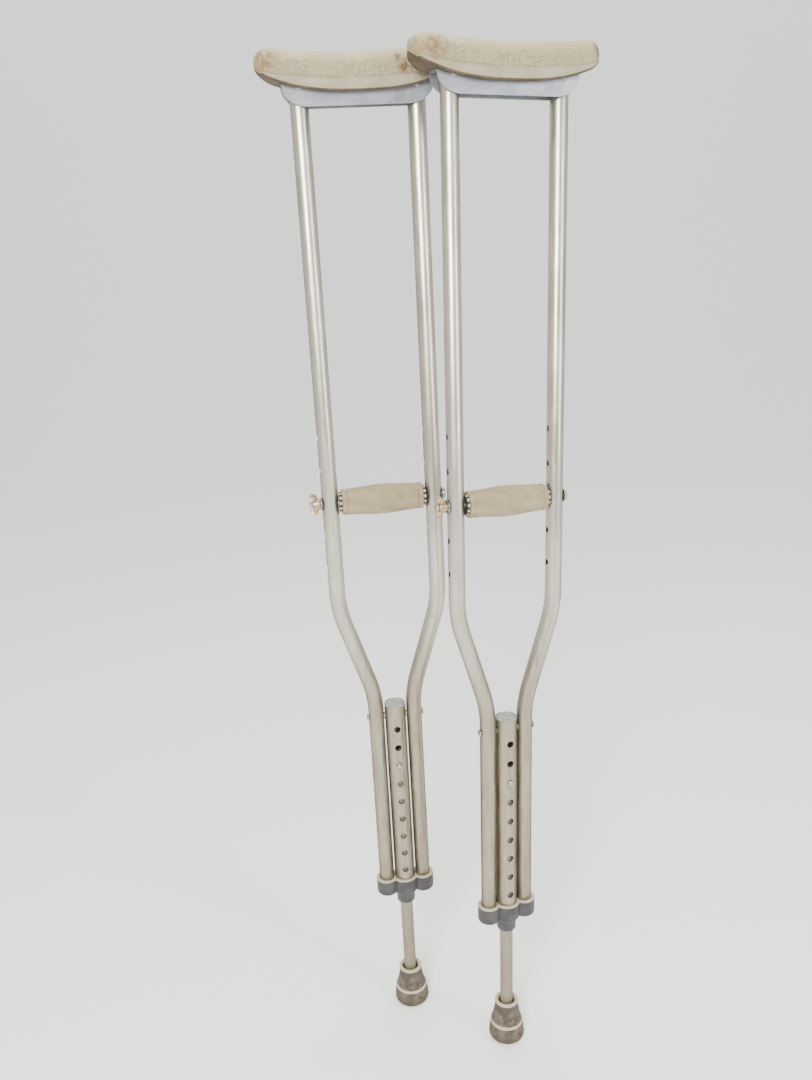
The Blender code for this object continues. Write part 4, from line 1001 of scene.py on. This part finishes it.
def pad(crutch, grain, band, rim):
    """Grained upper, seam line, smooth crescent band and a dark lip of painted shade, lofted along the
    pad.
    """
    high = crutch.box("underarm_pad")[1]
    saddle_low, saddle_high = crutch.box("saddle")
    length = high.x / 0.9989
    half_width = high.y
    top_end = high.z
    top_mid = top_end - PAD_TOP_SAG
    under_mid = saddle_low.z + PAD_UNDER_MID
    under_end = saddle_low.z + PAD_UNDER_END
    slot_half = saddle_high.x + GAP
    roof = saddle_high.z + GAP
    neck = 0.0136
    stations = []
    steps = 84
    for i in range(steps + 1):
        share = 0.985 * (2.0 * i / steps - 1.0)
        stations.append(length * math.sin(share * math.pi / 2))
    for edge in (-slot_half, slot_half):
        stations += [edge - 0.0002, edge + 0.0002]
    stations.sort()
    rings = []
    crown_steps = 18
    for x in stations:
        reach = abs(x) / length
        top = top_mid + (top_end - top_mid) * reach ** 2
        under = under_mid + (under_end - under_mid) * reach ** 2.6
        past_plan = max(0.0, abs(x) - length + PAD_PLAN_ROUND) / PAD_PLAN_ROUND
        past_side = max(0.0, abs(x) - length + PAD_END_ROUND) / PAD_END_ROUND
        drop = PAD_END_ROUND * (1.0 - math.sqrt(1.0 - min(past_side, 1.0) ** 2))
        width = half_width * math.sqrt(1.0 - min(past_plan, 1.0) ** 2)
        top -= drop * 0.72
        under += drop * 0.40
        seam = under + max(0.0009, top - under - PAD_GRAIN_HEIGHT * (1.0 - 0.25 * past_side))
        roof_z = roof if abs(x) < slot_half else under + 0.0004
        neck_y = min(neck, width * 0.66)
        k = min(1.0, width / 0.012)
        half = []
        for n in range(crown_steps + 1):
            turn = math.pi / 2 * n / crown_steps
            half.append((width * math.sin(turn) ** 0.62, seam + (top - seam) * math.cos(turn) ** 0.66))
        half += [
            (width - 0.0007 * k, seam - 0.0003), (width - 0.0008 * k, seam - 0.0007),
            (width - 0.0003 * k, seam - 0.0011),
            (width - 0.0004 * k, under + (seam - under) * 0.45), (width - 0.0010 * k, under + 0.0018 * k),
            (width - 0.0019 * k, under + 0.0006 * k), (width - 0.0030 * k, under),
            (width * 0.5 + neck_y * 0.5, under), (neck_y, under + 0.0002),
            (neck_y, roof_z), (neck_y * 0.5, roof_z),
        ]
        ring = [(x, y, z) for y, z in half]
        ring.append((x, 0.0, roof_z))
        ring += [(x, -y, z) for y, z in reversed(half[1:])]
        rings.append(ring)
    mesh = loft(rings, "pad", sharp=60.0)
    count = len(rings[0])
    for poly in mesh.polygons:
        if len(poly.vertices) != 4:
            continue
        places = sorted({v % count for v in poly.vertices})
        j = places[0] if places[-1] - places[0] == 1 else 0
        j = min(j, count - 1 - j)
        # faces of the lower lip and underside take the third finish, the dark painted shade
        if j >= crown_steps + 5:
            poly.material_index = 2
        elif j > crown_steps:
            poly.material_index = 1
    show(crutch, "underarm_pad", mesh, grain, band, rim)


# ---- assembly
BROWN = (0.20, 0.115, 0.042)
OCHRE = (0.30, 0.19, 0.07)
RUST = (0.135, 0.070, 0.030)
DARK = (0.045, 0.032, 0.02)
PAD_MARKS = {
    "1": [
        ((-0.092, -0.018, 1.1600), 0.019, BROWN, 0.90), ((-0.097, -0.008, 1.1510), 0.016, OCHRE, 0.80),
        ((0.046, -0.020, 1.1480), 0.011, RUST, 0.95), ((0.039, -0.019, 1.1570), 0.006, RUST, 0.85),
    ],
    "2": [
        ((-0.079, -0.020, 1.1560), 0.017, BROWN, 0.90), ((-0.096, -0.012, 1.1520), 0.015, OCHRE, 0.80),
        ((0.0965, -0.0130, 1.1600), 0.0125, DARK, 0.98),
    ],
}

ALUMINIUM = aluminium_tube()
LEG_ALUMINIUM = aluminium_tube("leg_aluminium_look", 0.45, 0.42, 0.55)
SADDLE = saddle_sheet()
STEEL = zinc_steel()
CREAM_ZINC = zinc_steel("wing_nut_look", (0.52, 0.40, 0.26))
GRIP_FOAM = grip_rubber()
TIP = tip_rubber()
BRACKET = bracket_plastic()
PALE = pale_plastic("pale_plastic_look", (0.55, 0.55, 0.50), (0.66, 0.66, 0.61))
PLUG = pale_plastic("plug_plastic_look", (0.20, 0.225, 0.20), (0.33, 0.355, 0.315), (0.28, 0.42))
# painted shade: near-black for the bushings' grooves, ends and bore, whose plastic is pale like the ribs
GROOVE_SHADE = pale_plastic("bushing_groove_shade_look", (0.020, 0.020, 0.020), (0.045, 0.045, 0.042))
RIB_PLASTIC = pale_plastic("bushing_rib_look", (0.42, 0.39, 0.31), (0.55, 0.52, 0.43))

for suffix in "12":
    crutch = Crutch(suffix)
    bow(crutch, "nut_side_bow", -1.0, ALUMINIUM)
    bow(crutch, "head_side_bow", 1.0, ALUMINIUM)
    center_tube(crutch, ALUMINIUM)
    top_plug(crutch, PLUG)
    cross_rivet(crutch, STEEL)
    bottom_bracket(crutch, BRACKET)
    leg(crutch, LEG_ALUMINIUM, PALE)
    snap_button(crutch, STEEL)
    rubber_tip(crutch, TIP, STEEL)
    grip(crutch, GRIP_FOAM, PALE, GROOVE_SHADE, RIB_PLASTIC)
    grip_fastener(crutch, STEEL, CREAM_ZINC)
    saddle(crutch, SADDLE)
    pad(crutch, pad_upper(PAD_MARKS[suffix]), pad_band(PAD_MARKS[suffix]), pad_rim())
    snap_spring(crutch, STEEL)


# ---- floor, light and camera
def floor():
    """A wide pale floor that sweeps up behind into a backdrop."""
    depth, rise = 5.0, 2.2
    profile = [(-7.0, 0.0), (depth - rise, 0.0)]
    for i in range(1, 25):
        turn = math.pi / 2 * i / 24
        profile.append((depth - rise + rise * math.sin(turn), rise - rise * math.cos(turn)))
    profile.append((depth, 6.0))
    verts = [(x, y, z - 0.0005) for y, z in profile for x in (-9.0, 9.0)]
    faces = [(2 * i, 2 * i + 1, 2 * i + 3, 2 * i + 2) for i in range(len(profile) - 1)]
    mesh = bpy.data.meshes.new("floor")
    mesh.from_pydata(verts, [], faces)
    mesh.shade_smooth()
    obj = bpy.data.objects.new("floor", mesh)
    bpy.context.scene.collection.objects.link(obj)
    f = Finish("floor_look", Specular_IOR_Level=0.2, Roughness=0.9, Emission_Strength=0.22)
    soft = f.noise(1.0, 3.0, 0.5, stretch=(3, 3, 3))
    f.colour(f.blend(soft, (0.93, 0.93, 0.925), (0.95, 0.95, 0.945)))
    mesh.materials.append(f.done())


def area_light(name, place, aim, size, power, colour):
    """A rectangular light at a place, turned towards the point it aims at."""
    data = bpy.data.lights.new(name, "AREA")
    data.shape = "RECTANGLE"
    data.size, data.size_y = size
    data.energy = power
    data.color = colour
    obj = bpy.data.objects.new(name, data)
    bpy.context.scene.collection.objects.link(obj)
    obj.location = place
    obj.rotation_mode = "QUATERNION"
    obj.rotation_quaternion = (Vector(aim) - Vector(place)).to_track_quat("-Z", "Y")
    return obj


def lights():
    """A plain white studio: an even surround, a large front key and two softer lights."""
    world = bpy.context.scene.world or bpy.data.worlds.new("world")
    bpy.context.scene.world = world
    world.use_nodes = True
    background = world.node_tree.nodes["Background"]
    background.inputs["Color"].default_value = (1.0, 1.0, 1.0, 1.0)
    background.inputs["Strength"].default_value = WORLD_STRENGTH
    area_light("key", (-0.55, -2.2, 2.0), (0, 0, 0.62), (0.8, 1.2), 112.0, (1.0, 0.975, 0.93))
    area_light("fill", (1.7, -1.2, 1.3), (0, 0, 0.6), (0.35, 1.5), 26.0, (0.96, 0.98, 1.0))
    area_light("top", (0.1, 0.5, 2.8), (0, 0, 0.6), (1.2, 1.2), 34.0, (1.0, 1.0, 1.0))


def camera():
    """The camera at the photograph's viewing angle, placed from the upright crutch's foot."""
    data = bpy.data.cameras.new("camera")
    data.sensor_fit = "AUTO"
    data.sensor_width = SENSOR_MM
    data.lens = FOCAL_PX / FRAME_HEIGHT_PX * SENSOR_MM
    obj = bpy.data.objects.new("camera", data)
    bpy.context.scene.collection.objects.link(obj)
    turn = Matrix.Rotation(CAMERA_TURN, 3, "Z")
    forward = turn @ Matrix.Rotation(-CAMERA_PITCH, 3, "X") @ Vector((0, 1, 0))
    right = turn @ Vector((1, 0, 0))
    up = right.cross(forward)
    tilted_right = right * math.cos(CAMERA_ROLL) + up * math.sin(CAMERA_ROLL)
    tilted_up = -right * math.sin(CAMERA_ROLL) + up * math.cos(CAMERA_ROLL)
    matrix = Matrix((tilted_right, tilted_up, -forward)).transposed().to_4x4()
    matrix.translation = Vector(MOUNTS["tip_tread_1"]["pos_m"]) + CAMERA_OFFSET
    obj.matrix_world = matrix
    bpy.context.scene.camera = obj


floor()
lights()
camera()
